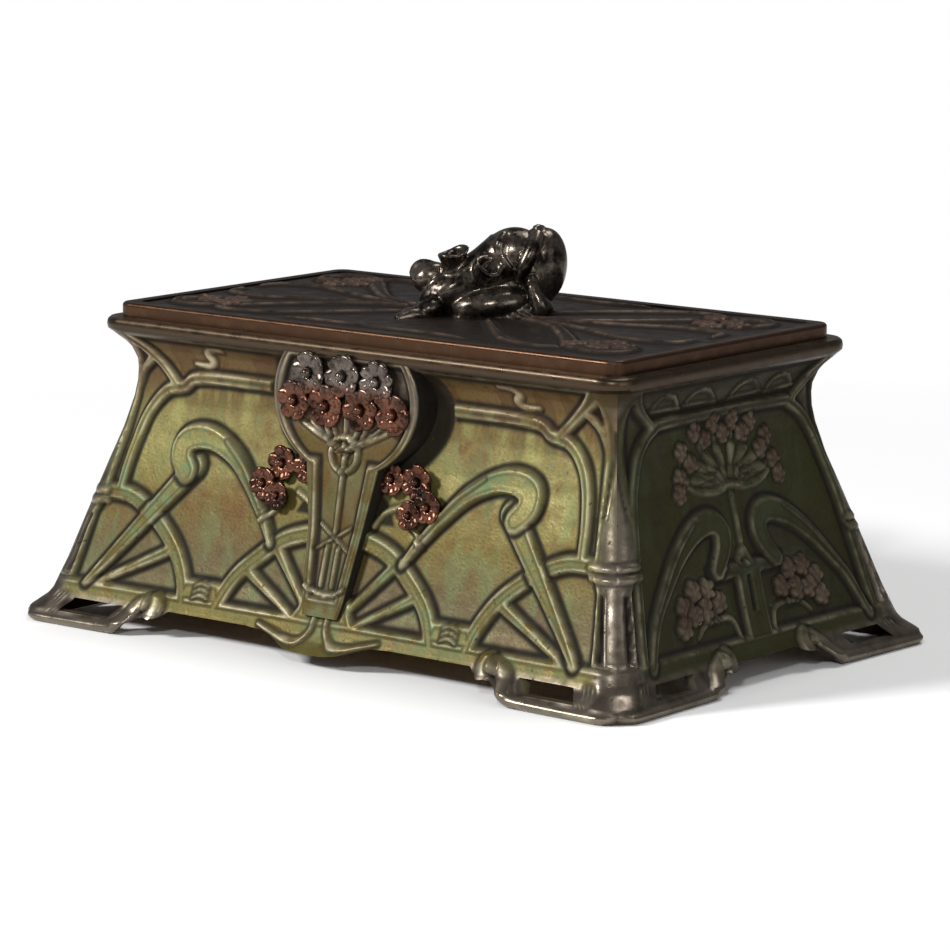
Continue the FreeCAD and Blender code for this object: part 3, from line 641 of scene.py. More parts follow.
    def recess(self, wall: bpy.types.Object) -> None:
        """Cuts the seats of the hinge leaves and barrels into the back wall's top."""
        low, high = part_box("hinge_body_leaf_left")
        middle = abs(low[0] + high[0])/2
        for sign, seat in ((s, seat) for s in (-1, 1) for seat in (self.leaf_seat, self.barrel_seat)):
            half, near, far, floor = (value*MM for value in seat)
            tall = self.seat_height*MM
            bpy.ops.mesh.primitive_cube_add(size=1)
            box = bpy.context.object
            box.dimensions = (2*half, far - near, tall)
            box.location = (sign*middle, (near + far)/2, floor + tall/2)
            bpy.ops.object.transform_apply(location=True, rotation=False, scale=True)
            pick(wall)
            cut = wall.modifiers.new("seat", "BOOLEAN")
            cut.operation, cut.solver, cut.object = "DIFFERENCE", "EXACT", box
            bpy.ops.object.modifier_apply(modifier=cut.name)
            bpy.data.objects.remove(box)

    def turned(self, side: Side, along: np.ndarray, away: np.ndarray, z: np.ndarray) -> np.ndarray:
        """Turns a wall's own distances into points of the casket, in metres."""
        angle = side.value*math.pi/2
        cos, sin = round(math.cos(angle)), round(math.sin(angle))
        x, y = along, -away
        return np.stack([x*cos - y*sin, x*sin + y*cos, z], axis=-1)*MM

    def stitch(self, outer: np.ndarray, inner: np.ndarray, holes: list[tuple[int, int]],
               rows: list[int]) -> tuple[np.ndarray, list]:
        """Closes an outer and an inner skin into one shell.

        Args:
            outer: points of the outer skin, columns by rows.
            inner: points of the inner skin, with the same columns and fewer rows.
            holes: first and last column of each slot.
            rows: first and last row of the slots in the outer skin; rows 1 and 2 in the inner.

        Returns:
            All points and all faces.
        """
        n, m, k = outer.shape[0], outer.shape[1], inner.shape[1]
        out_at = np.arange(n*m).reshape(n, m)
        in_at = np.arange(n*k).reshape(n, k) + n*m
        faces = []
        for at, low, high in ((out_at, rows[0], rows[1]), (in_at, 1, 2)):
            keep = np.ones((n - 1, at.shape[1] - 1), bool)
            for first, last in holes:
                keep[first:last, low:high] = False
            quads = np.stack([at[:-1, :-1], at[1:, :-1], at[1:, 1:], at[:-1, 1:]], -1)[keep]
            faces += (quads if at is out_at else quads[:, ::-1]).tolist()
        for a, b in ((0, 0), (m - 1, k - 1)):
            faces += [[int(v) for v in (out_at[i, a], out_at[i + 1, a], in_at[i + 1, b], in_at[i, b])]
                      for i in range(n - 1)]
        for i in (0, n - 1):
            faces.append(out_at[i].tolist() + in_at[i, ::-1].tolist())
        for first, last in holes:
            for a, b in zip(rows, (1, 2)):
                faces += [[int(v) for v in (out_at[i, a], out_at[i + 1, a], in_at[i + 1, b], in_at[i, b])]
                          for i in range(first, last)]
            for i in (first, last):
                faces.append(out_at[i, rows[0]:rows[1] + 1].tolist() + [int(in_at[i, 2]), int(in_at[i, 1])])
        return np.vstack([outer.reshape(-1, 3), inner.reshape(-1, 3)]), faces


@dataclass
class Medallion:
    """A straight-faced plate on the front and back: an oval with flowers over a tapered column."""

    middle: float = 80.0
    reach: Pair = (29.0, 23.5)
    top: float = 92.2
    foot: float = 15.0
    column: tuple[Pair, ...] = ((15, 7.0), (20, 8.3), (41, 10.9), (61, 14.7))
    face: tuple[Pair, ...] = ((15, 70.6), (20, 69.3), (41, 63.3), (61, 59.6), (79, 58.3), (92.2, 58.0))
    inner_panel: tuple[Pair, ...] = ((20, 4.9), (65, 10.4))

    def half_width(self, z: np.ndarray) -> np.ndarray:
        """Returns the plate's half-width at a height."""
        oval = self.reach[0]*np.sqrt(np.clip(1 - ((z - self.middle)/self.reach[1])**2, 0, 1))
        return np.maximum(oval, np.interp(z, *zip(*self.column)))

    def relief(self, x: np.ndarray, z: np.ndarray) -> Relief:
        """Rim, sunken panels, ring, stems and ties."""
        r = Relief(np.abs(x), z)
        edge = self.half_width(z) - r.x
        heads = r.inside([(-60, 61), (60, 61), (60, 120), (-60, 120)])
        top = r.inside([(-60, 40), (60, 40), (60, 91), (-60, 91)])
        panel = np.interp(z, *zip(*self.inner_panel)) - r.x
        floor = np.maximum(np.minimum(np.minimum(edge - 3.6, heads), top),
                           np.minimum(panel, r.inside([(-60, 20.6), (60, 20.6), (60, 70), (-60, 70)])))
        r.lift(-floor, 1.4, 0.75)
        r.raised = r.raised*np.clip((74 - z)/20, 0, 1)
        for tip in ((0.0, 80), (5.5, 72), (10.5, 80), (13.5, 71.5), (17, 71)):
            r.wire([(0.3, 64), (tip[0]*0.62, 68), tip], (0.8, 0.75), 0.8)
        r.wire([(5.2*math.cos(a), 63 + 5.2*math.sin(a)) for a in np.linspace(-0.5*math.pi, 0.5*math.pi, 9)],
               (1.0, 1.0), 1.4)
        r.wire([(0, 39), (0, 66)], (0.9, 0.9), 1.0)
        r.wire([(0, 38), (6, 41.6)], (0.55, 0.55), 0.9)
        r.wire([(0, 38), (6, 34.6)], (0.55, 0.55), 0.9)
        r.wire([(2.2, 24), (2.2, 35)], (0.9, 0.9), 0.9)
        r.wire([(0, 21.3), (4, 21.8), (7.6, 23.6)], (0.7, 0.7), 0.8)
        return r

    def build(self, side: Side) -> bpy.types.Object:
        """Makes the plate with its edge running back into the wall."""
        across = np.linspace(-1, 1, 110)
        up = np.linspace(self.foot, self.top, 150)
        u, z = np.meshgrid(across, up, indexing="ij")
        x = u*self.half_width(z)
        relief = self.relief(x, z)
        relief.soften()
        margin = np.minimum(1 - np.abs(u), 0.1)*self.half_width(z)
        rounding = 0.8*np.clip(1 - margin/1.2, 0, 1)**2
        out = np.interp(z, *zip(*self.face)) + relief.height - 1.4 - rounding
        walls = Walls()
        front = walls.turned(side, x, out, z)
        deep = np.interp(z[[0, -1]], (15, 60, 79, 95), (66.0, 51.5, 47.6, 47.6))
        back = walls.turned(side, x[[0, -1]], deep, z[[0, -1]])
        n, m = z.shape
        at = np.arange(n*m).reshape(n, m)
        rear = np.arange(2*m).reshape(2, m) + n*m
        faces = quads(at)
        for j in range(m - 1):
            faces.append([int(rear[0, j]), int(rear[1, j]), int(rear[1, j + 1]), int(rear[0, j + 1])])
            for i, k in ((0, 0), (n - 1, 1)):
                faces.append([int(at[i, j]), int(at[i, j + 1]), int(rear[k, j + 1]), int(rear[k, j])])
        for j in (0, m - 1):
            faces.append(at[:, j].tolist() + [int(rear[1, j]), int(rear[0, j])])
        points = np.vstack([front.reshape(-1, 3), back.reshape(-1, 3)])
        piece = make_piece(f"{side.name.lower()}_medallion", points, faces)
        tail = np.ones(len(piece.data.vertices) - n*m)
        top = ease((z - 66)/14)*0.85
        # painted shade on the plate's side walls and rear, and a painted highlight just inside its edge
        relief.sunk[[0, -1], :] = 1.0
        relief.worn_and_highlight[[0, -1], :] = 0.0
        relief.worn_and_highlight[[2, -3], :] = 0.9
        for name, layer, rear_value in (("raised", relief.raised, 0), ("sunk", relief.sunk, 1),
                                        ("worn_and_highlight", relief.worn_and_highlight, 0), ("polish", top, 1)):
            paint(piece, **{name: np.concatenate([layer.ravel(), tail*rear_value])})
        return piece


@dataclass
class Blossoms:
    """Cast flowers that stand on the long walls."""

    medallion_spots: tuple[tuple[float, float, float, int], ...] = (
        (-13.6, 86.6, 6.6, 5), (0, 86.8, 6.8, 6), (13.6, 86.2, 6.6, 8), (-7, 77.0, 6.8, 5),
        (7, 77.2, 6.8, 6), (-19.8, 77.6, 6.4, 6), (19.8, 77.0, 6.6, 5))
    cluster_spots: tuple[tuple[float, float, float, int], ...] = (
        (17, 57, 5.2, 5), (27, 57, 5.6, 6), (33, 50.5, 5.2, 5), (26.5, 47.5, 4.6, 5))
    plate_lean: float = 90
    wall_lean: float = 82
    spin: float = 0.7

    def flower(self, radius: float, petals: int) -> bpy.types.Object:
        """Models one flower of cupped petals about a button, facing up, at the origin.

        Args:
            radius: the flower's radius in millimetres.
            petals: how many petals it has.

        Returns:
            The flower, joined.
        """
        parts = []
        for k in range(petals):
            bpy.ops.mesh.primitive_uv_sphere_add(segments=16, ring_count=9, radius=1)
            petal = bpy.context.object
            wide = radius*0.56*math.sin(math.pi/petals)*1.72
            shape = Matrix.Diagonal((radius*0.47, wide, radius*0.26, 1))
            turn = Matrix.Rotation(2*math.pi*(k + 0.5)/petals, 4, "Z")
            lean = Matrix.Rotation(math.radians(-16), 4, "Y")
            petal.data.transform(turn @ Matrix.Translation((radius*0.56, 0, radius*0.10)) @ lean @ shape)
            self.groove(petal, turn, radius)
            parts.append(petal)
        bpy.ops.mesh.primitive_uv_sphere_add(segments=14, ring_count=8, radius=radius*0.24,
                                             location=(0, 0, radius*0.26))
        parts.append(bpy.context.object)
        pick(*parts)
        bpy.ops.object.shade_smooth()
        return join("blossom", parts)

    def groove(self, petal: bpy.types.Object, turn: Matrix, radius: float) -> None:
        """Presses a shallow groove down the middle of a petal and cups it."""
        back = turn.inverted()
        for vertex in petal.data.vertices:
            spot = back @ vertex.co
            if spot.z > 0:
                crease = math.exp(-(spot.y/(radius*0.07))**2)
                middle = math.exp(-((spot.x/radius - 0.6)/0.24)**2)
                spot.z -= radius*(0.08*crease + 0.13*middle)
                vertex.co = turn @ spot

    def build(self, side: Side, walls: Walls, plate: Medallion) -> bpy.types.Object:
        """Copies the flowers onto one long wall."""
        parts = []
        clusters = [(s*x, z, r, n) for x, z, r, n in self.cluster_spots for s in (-1, 1)]
        for on_plate, spots in ((True, self.medallion_spots), (False, clusters)):
            for number, (x, z, radius, petals) in enumerate(spots):
                if on_plate:
                    out = float(np.interp(z, *zip(*plate.face))) + 0.1 - 0.5*(number > 2)
                else:
                    out = float(walls.outline(side, np.array([z]))[1][0]) + 0.2
                flower = self.flower(radius, petals)
                lean = self.plate_lean if on_plate else self.wall_lean
                spin = Matrix.Rotation(self.spin*number, 4, "Z")
                stand = Matrix.Rotation(math.radians(lean), 4, "X") @ spin
                flower.data.transform(Matrix.Rotation(side.value*math.pi/2, 4, "Z")
                                      @ Matrix.Translation(Vector((x, -out, z)))
                                      @ stand)
                flower.data.transform(Matrix.Scale(MM, 4))
                parts.append(flower)
        return join(f"{side.name.lower()}_blossoms", parts)


@dataclass
class LidRelief:
    """The raised tendrils and flower groups cast on the lid's field."""

    half: Pair = (95.0, 48.2)
    steps: tuple[int, int] = (390, 204)
    sunk: float = 0.8

    def build(self) -> bpy.types.Object:
        """Makes a thin closed plate that fills the lid's sunken field."""
        field_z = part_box("lid")[1][2]/MM - self.sunk
        u, v = np.meshgrid(*(np.linspace(-1, 1, count) for count in self.steps), indexing="ij")
        x, y = u*(self.half[0] - 0.2), v*(self.half[1] - 0.2)
        r = Relief(np.abs(x), np.abs(y), step=1.0)
        r.band([(24, 2), (40, 8), (56, 22), (70, 36), (82, 41), (89, 35), (86, 27)],
               (1.2, 2.2, 3.0, 2.4, 1.2), 1.1)
        r.band([(16, 10), (30, 24), (46, 38), (60, 43), (68, 41)], (0.8, 2.0, 1.0), 1.0)
        r.band([(30, 1), (52, 7), (72, 14), (88, 12), (91, 4)], (0.6, 1.8, 1.8, 0.8), 1.0)
        r.band([(0, 44), (20, 43), (36, 45)], (1.2, 1.4, 0.5), 0.9)
        for spot in ((77, 33), (70, 28), (83, 28), (76, 23.5), (69, 34.5)):
            r.blossom(spot, 4.2, 6, 1.1)
        r.soften()
        z = field_z + 0.25 + np.clip(r.height, -0.2, 2.2)*0.95
        z[[0, -1], :] = field_z + 0.05
        z[:, [0, -1]] = field_z + 0.05
        n, m = z.shape
        points = np.stack([x, y, z], -1).reshape(-1, 3)
        at = np.arange(n*m).reshape(n, m)
        base = [(x[i, j], y[i, j], field_z - 0.02) for i, j in ((0, 0), (-1, 0), (-1, -1), (0, -1))]
        faces = quads(at)
        b = n*m
        faces.append([b, b + 3, b + 2, b + 1])
        for line, ends in ((at[:, 0], (b, b + 1)), (at[-1], (b + 1, b + 2)), (at[::-1, -1], (b + 2, b + 3)),
                           (at[0, ::-1], (b + 3, b))):
            faces.append(line[::-1].tolist() + list(ends))
        piece = make_piece("lid_relief", np.vstack([points, base])*MM, faces)
        tail = np.zeros(len(piece.data.vertices) - b)
        # the lid's relief carries the patina, the painted shade and the wear with its painted highlight
        for name, layer in (("raised", r.raised), ("sunk", r.sunk), ("worn_and_highlight", r.worn_and_highlight)):
            paint(piece, **{name: np.concatenate([layer.ravel(), tail])})
        return piece


# ------------------------------------------------------------------ flower handle
@dataclass
class FlowerHandle:
    """The cast orchid on the lid: a trunk, ruffled cups, a wide mouth, a hanging petal and leaves."""

    turn: float = math.radians(39.9)
    tube_around: int = 64
    tube_ribs: int = 18
    cup_around: int = 48
    petal_around: int = 96
    petal_rings: int = 16
    sink: float = 0.8
    voxel: float = 0.42

    def tube(self, path: list[Spot], radii: tuple[float, ...], ribs: float = 0.0) -> bpy.types.Object:
        """Lofts a round or ribbed body along a smooth path.

        Args:
            path: right, toward the back, up, in millimetres from the middle of the lid's field.
            radii: radii spread evenly along the path; the ends close to a point.
            ribs: depth of fine lengthwise ribs, as a share of the radius.

        Returns:
            The closed body.
        """
        xy = smooth_curve([(p[0], p[1]) for p in path], 10)
        up = smooth_curve([(p[2], 0.0) for p in path], 10)[:, :1]
        line = np.hstack([xy, up])
        size = spread(radii, len(line))
        tangent = np.gradient(line, axis=0)
        tangent /= np.linalg.norm(tangent, axis=1)[:, None]
        side = np.cross(tangent, (0, 0, 1.0))
        side /= np.maximum(np.linalg.norm(side, axis=1), 1e-6)[:, None]
        over = np.cross(side, tangent)
        angle = np.linspace(0, 2*math.pi, self.tube_around, endpoint=False)
        wave = size[:, None]*(1 + ribs*np.cos(self.tube_ribs*angle))
        ring = (line[:, None] + (wave*np.cos(angle))[..., None]*side[:, None]
                + (wave*np.sin(angle))[..., None]*over[:, None])
        at = np.arange(wave.size).reshape(wave.shape)
        faces = ring_quads(at)
        tips = np.vstack([line[0] - tangent[0]*size[0]*0.3, line[-1]])
        first, last = at[[0, -1]].tolist()
        for k in range(self.tube_around):
            onward = (k + 1) % self.tube_around
            faces.append([first[k], at.size, first[onward]])
            faces.append([last[k], last[onward], at.size + 1])
        return self.placed(np.vstack([ring.reshape(-1, 3), tips]), faces)

    def cup(self, path: list[Spot], radii: tuple[float, ...], ruffle: float) -> bpy.types.Object:
        """Makes a flared cup: a tube whose wavy rim turns back down into a hollow.

        Args:
            path: right, back, up, from the root to the rim.
            radii: outer radii spread evenly along the path.
            ruffle: how strongly the rim waves, as a share of the radius.

        Returns:
            The closed cup.
        """
        line = np.stack([smooth_curve([(p[axis], 0.0) for p in path], 10)[:, 0] for axis in range(3)], -1)
        share = np.linspace(0, 1, len(line))
        size = spread(radii, len(line))
        inner = line[::-1][:int(len(line)*0.45)]
        inner_size = size[::-1][:len(inner)] - np.linspace(1.5, 2.0, len(inner))
        wave = np.concatenate([share**3, share[::-1][:len(inner)]**3])
        line, size = np.vstack([line, inner]), np.concatenate([size, inner_size])
        tangent = np.array(path[-1], float) - np.array(path[0], float)
        tangent /= np.linalg.norm(tangent)
        side = np.cross(tangent, (0.3, 1.0, 0.2))
        side /= np.linalg.norm(side)
        over = np.cross(side, tangent)
        angle = np.linspace(0, 2*math.pi, self.cup_around, endpoint=False)
        bulge = 1 + ruffle*wave[:, None]*np.cos(2*angle + 0.7)[None]
        dip = ruffle*(size*wave)[:, None]*np.cos(2*angle + 2.0)[None]
        ring = (line[:, None] + (size[:, None]*bulge*np.cos(angle))[..., None]*side
                + (size[:, None]*bulge*np.sin(angle))[..., None]*over + dip[..., None]*tangent)
        at = np.arange(bulge.size).reshape(bulge.shape)
        faces = ring_quads(at) + [at[0, ::-1].tolist(), at[-1].tolist()]
        return self.placed(ring.reshape(-1, 3), faces)

    def petal(self, middle: Spot, reach: Pair, face: Pair, cup: float, ruffle: float, folds: int,
              ribs: int, thick: float) -> bpy.types.Object:
        """Makes a thick ribbed petal as a cupped disc.

        Args:
            middle: its middle, right, back, up.
            reach: its half-width and half-height.
            face: the way it faces, as a turn about up and a tilt above level, in degrees.
            cup: how deep it cups, as a share of its size.
            ruffle: how strongly its rim waves.
            folds: waves round the rim.
            ribs: ribs that fan from its middle.
            thick: its thickness.

        Returns:
            The closed petal.
        """
        angle, share = np.meshgrid(np.linspace(0, 2*math.pi, self.petal_around, endpoint=False),
                                   np.linspace(0.05, 1, self.petal_rings))
        size = max(reach)
        rim = 1 + 0.06*np.cos(folds*angle + 0.6)
        px = reach[0]*share*rim*np.cos(angle)
        py = reach[1]*share*rim*np.sin(angle)
        pz = (cup*size*share**2 + ruffle*size*share**2.4*np.cos(folds*angle)
              + 0.03*size*share*np.cos(ribs*angle))
        front = np.stack([px, py, pz], -1)
        back = front - np.array([0, 0, thick])*(1 - 0.6*share**2)[..., None]
        points = np.vstack([front.reshape(-1, 3), back.reshape(-1, 3), [[0, 0, 0.0]], [[0, 0, -thick]]])
        at = np.arange(share.size).reshape(share.shape)
        nxt = np.roll(at, -1, axis=1)
        under = share.size
        faces = ring_quads(at)
        faces += [[a + under, d + under, c + under, b + under] for a, b, c, d in faces]
        for k in range(self.petal_around):
            a, b = int(at[-1, k]), int(nxt[-1, k])
            faces.append([a, b, b + under, a + under])
            faces.append([int(at[0, k]), 2*under, int(nxt[0, k])])
            faces.append([int(at[0, k]) + under, int(nxt[0, k]) + under, 2*under + 1])
        stand = (Matrix.Translation(middle) @ Matrix.Rotation(math.radians(face[0]), 4, "Z")
                 @ Matrix.Rotation(math.radians(90 - face[1]), 4, "X"))
        placed = np.array([stand @ Vector(p) for p in points])
        return self.placed(placed, faces)

    def placed(self, points: np.ndarray, faces: list) -> bpy.types.Object:
        """Turns the handle's own directions into the casket's and makes the piece."""
        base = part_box("lid")[1][2]/MM - self.sink
        cos, sin = math.cos(self.turn), math.sin(self.turn)
        x = points[:, 0]*cos - points[:, 1]*sin
        y = points[:, 0]*sin + points[:, 1]*cos
        return make_piece("handle_part", np.stack([x, y, points[:, 2] + base], -1)*MM, faces, 70)

    def bead(self, middle: Spot, reach: Spot, lean: float = 0.0) -> bpy.types.Object:
        """Adds a smooth egg-shaped mass.

        Args:
            middle: its middle, right, back, up.
            reach: its half-sizes.
            lean: its lean to the right about the view's depth, in degrees.

        Returns:
            The mass.
        """
        bpy.ops.object.select_all(action="DESELECT")
        bpy.ops.mesh.primitive_uv_sphere_add(segments=40, ring_count=24, radius=1)
        mass = bpy.context.object
        shape = (Matrix.Translation(middle) @ Matrix.Rotation(math.radians(lean), 4, "Y")
                 @ Matrix.Diagonal((*reach, 1)))
        points = np.array([shape @ v.co for v in mass.data.vertices])
        faces = [list(f.vertices) for f in mass.data.polygons]
        bpy.data.objects.remove(mass)
        return self.placed(points, faces)

    def build(self) -> bpy.types.Object:
        """Makes the whole flower, blended into one casting."""
        parts = [
            # trunk that rises to the right and swells into the mouth
            self.tube([(-13, 0, 2), (-8, 0, 6), (-1, 0, 9.5), (6, 0, 13.5), (12, 0, 17.5)],
                      (4.0, 6.4, 7.4, 8.0, 9)),
            self.bead((13.5, -0.5, 18.4), (9.8, 7.6, 8.6), -18),
            self.bead((8.5, 0, 16.0), (8.8, 7.0, 6.6), -38),
            # shell-like petal at the right
            self.petal((25.4, -2.0, 14.2), (8.8, 13.4), (54, 2), -0.24, 0.012, 3, 26, 4.0),
            self.bead((23.2, 1.0, 15.0), (7.2, 7.4, 11.8), 5),
            # the fold that runs down across the mouth, and the ridge beside it
            self.tube([(21.4, -3.4, 25.6), (19.6, -7.4, 21), (17.0, -8.6, 15.5), (15.4, -7.6, 10.5)],
                      (2.0, 2.5, 2.3, 1.6)),
            self.tube([(11.0, -3.6, 25.6), (9.6, -6.2, 22.6), (9.2, -7.4, 19.6)], (1.4, 1.9, 1.0)),
            # small open cup with a bright lip
            self.cup([(3, -2, 10), (5.2, -6.2, 13.6), (6.4, -9.8, 16.6)], (4.0, 4.2, 4.3), 0.12),
            # a flared cup and a lobed petal at the left
            self.cup([(-2, 0, 7), (-4.2, -1.0, 12), (-4.8, -2.0, 16.4), (-4.8, -3.2, 20.0)],
                     (6.0, 3.9, 3.5, 4.8), 0.12),
            self.petal((-14.4, 0.6, 12.6), (5.4, 5.0), (-30, 10), -0.3, 0.03, 2, 18, 2.2),
            self.bead((-12.0, 1.6, 11.4), (5.8, 4.4, 4.4), -30),
            self.bead((-5.5, -2.6, 8.2), (7.4, 4.6, 4.4), -32),
            # ribbed leaf that lies toward the front, and the drooping curl
            self.petal((8.0, -8.4, 4.8), (13.4, 7.8), (-4, 38), -0.20, 0.02, 3, 22, 3.0),
            self.bead((7, -4, 3.8), (12.8, 8.0, 5.6), -8),
            self.bead((12, -1, 8.6), (6.5, 6.0, 6.0)),
            self.tube([(19, -6, 12), (20.2, -8, 8), (21.8, -8.6, 4.6), (22.6, -8.2, 2.6)],
                      (1.8, 2.1, 2.8, 3.1)),
            self.bead((22.6, -8.0, 3.0), (3.5, 3.2, 3.0)),
            # root buds that creep over the lid
            self.bead((-12.4, -6.4, 2.6), (4.6, 4.0, 3.1), -24),
            self.bead((-9.8, -3.6, 5.2), (3.0, 3.0, 2.8), -30),
            self.tube([(-10, -5, 1.0), (-15, -8, 1.0), (-19, -10, 0.6), (-22.5, -12, 0.0)],
                      (3.4, 2.8, 2.2, 1.4), 0.05),
            self.bead((-16.8, -8.6, 1.4), (3.8, 3.0, 1.9), 8),
            self.tube([(-6, 2, 1.6), (-12, 3, 1.6), (-17, 4, 0.4)], (4.0, 3.0, 1.6), 0.04),
            self.tube([(0, 0, -0.2), (0, 0, 1.5), (0.2, 0, 3.0), (0.4, 0, 8)], (9, 8, 6.4, 4)),
        ]
        handle = join("orchid_handle", parts)
        remesh = handle.modifiers.new("blend", "REMESH")
        remesh.mode, remesh.voxel_size = "VOXEL", self.voxel*MM
        soften = handle.modifiers.new("soften", "SMOOTH")
        soften.factor, soften.iterations = 0.5, 10
        for modifier in (remesh.name, soften.name):
            bpy.ops.object.modifier_apply(modifier=modifier)
        bpy.ops.object.shade_smooth()
        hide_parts("flower_handle")
        return handle


# ------------------------------------------------------------------ finishes
@dataclass
class Nodes:
    """A material's node tree with short ways to add to it."""

    name: str
    material: bpy.types.Material = field(init=False)

    def __post_init__(self) -> None:
        """Starts a material with one principled shader."""
        self.material = bpy.data.materials.new(self.name)
        self.material.use_nodes = True
        self.shader = self.material.node_tree.nodes["Principled BSDF"]

    def add(self, kind: str, **values: object) -> bpy.types.Node:
        """Adds a node and sets its options."""
        node = self.material.node_tree.nodes.new(kind)
        for name, value in values.items():
            setattr(node, name, value)
        return node

    def link(self, source: bpy.types.NodeSocket, target: bpy.types.NodeSocket) -> None:
        """Joins two sockets."""
        self.material.node_tree.links.new(source, target)

    def place(self) -> bpy.types.NodeSocket:
        """Returns where a point lies on the object."""
        return self.add("ShaderNodeTexCoord").outputs["Object"]

    def axes(self) -> bpy.types.bpy_prop_collection:
        """Returns a point's X, Y and Z on the object, in metres."""
        split = self.add("ShaderNodeSeparateXYZ")
        self.link(self.place(), split.inputs[0])
        return split.outputs

    def noise(self, scale: float, detail: float = 4.0, stretch: Spot = (1, 1, 1)) -> bpy.types.NodeSocket:
        """Returns a noise pattern fixed to the object, with features of about 1/scale metres."""
        mapping = self.add("ShaderNodeMapping")
        mapping.inputs["Scale"].default_value = stretch
        made = self.add("ShaderNodeTexNoise")
        made.inputs["Scale"].default_value = scale
        made.inputs["Detail"].default_value = detail
        self.link(self.place(), mapping.inputs["Vector"])
        self.link(mapping.outputs["Vector"], made.inputs["Vector"])
        return made.outputs["Fac"]

    def stored(self, name: str) -> bpy.types.NodeSocket:
        """Returns a number stored on the mesh."""
        return self.add("ShaderNodeAttribute", attribute_name=name).outputs["Fac"]

    def ramp(self, source: bpy.types.NodeSocket, low: float, high: float, start: float = 0.0,
             end: float = 1.0) -> bpy.types.NodeSocket:
        """Maps low..high of a number to start..end."""
        made = self.add("ShaderNodeMapRange")
        for socket, value in zip(("From Min", "From Max", "To Min", "To Max"), (low, high, start, end)):
            made.inputs[socket].default_value = value
        self.link(source, made.inputs["Value"])
        return made.outputs["Result"]

    def mix(self, amount: bpy.types.NodeSocket, first: object, second: object) -> bpy.types.NodeSocket:
        """Mixes two colours, each a socket or a linear colour."""
        made = self.add("ShaderNodeMix", data_type="RGBA")
        self.link(amount, made.inputs["Factor"])
        for socket, value in ((made.inputs[6], first), (made.inputs[7], second)):
            if isinstance(value, bpy.types.NodeSocket):
                self.link(value, socket)
            else:
                socket.default_value = (*value, 1)
        return made.outputs[2]

    def math(self, kind: str, first: object, second: object) -> bpy.types.NodeSocket:
        """Works on two numbers, each a socket or a value."""
        made = self.add("ShaderNodeMath", operation=kind)
        for socket, value in zip(made.inputs, (first, second)):
            if isinstance(value, bpy.types.NodeSocket):
                self.link(value, socket)
            else:
                socket.default_value = value
        return made.outputs[0]

    def times(self, first: object, second: object) -> bpy.types.NodeSocket:
        """Returns the product of two numbers."""
        return self.math("MULTIPLY", first, second)

    def most(self, first: object, second: object) -> bpy.types.NodeSocket:
        """Returns the larger of two numbers."""
        return self.math("MAXIMUM", first, second)

    def bump(self, source: bpy.types.NodeSocket, strength: float, depth: float) -> None:
        """Roughens the surface by a pattern."""
        made = self.add("ShaderNodeBump")
        made.inputs["Strength"].default_value = strength
        made.inputs["Distance"].default_value = depth
        self.link(source, made.inputs["Height"])
        self.link(made.outputs["Normal"], self.shader.inputs["Normal"])


def srgb(*seen: int) -> Spot:
    """Returns a linear colour from one as seen, its red, green and blue 0 to 255."""
    return tuple((c/255/12.92) if c < 11 else ((c/255 + 0.055)/1.055)**2.4 for c in seen)


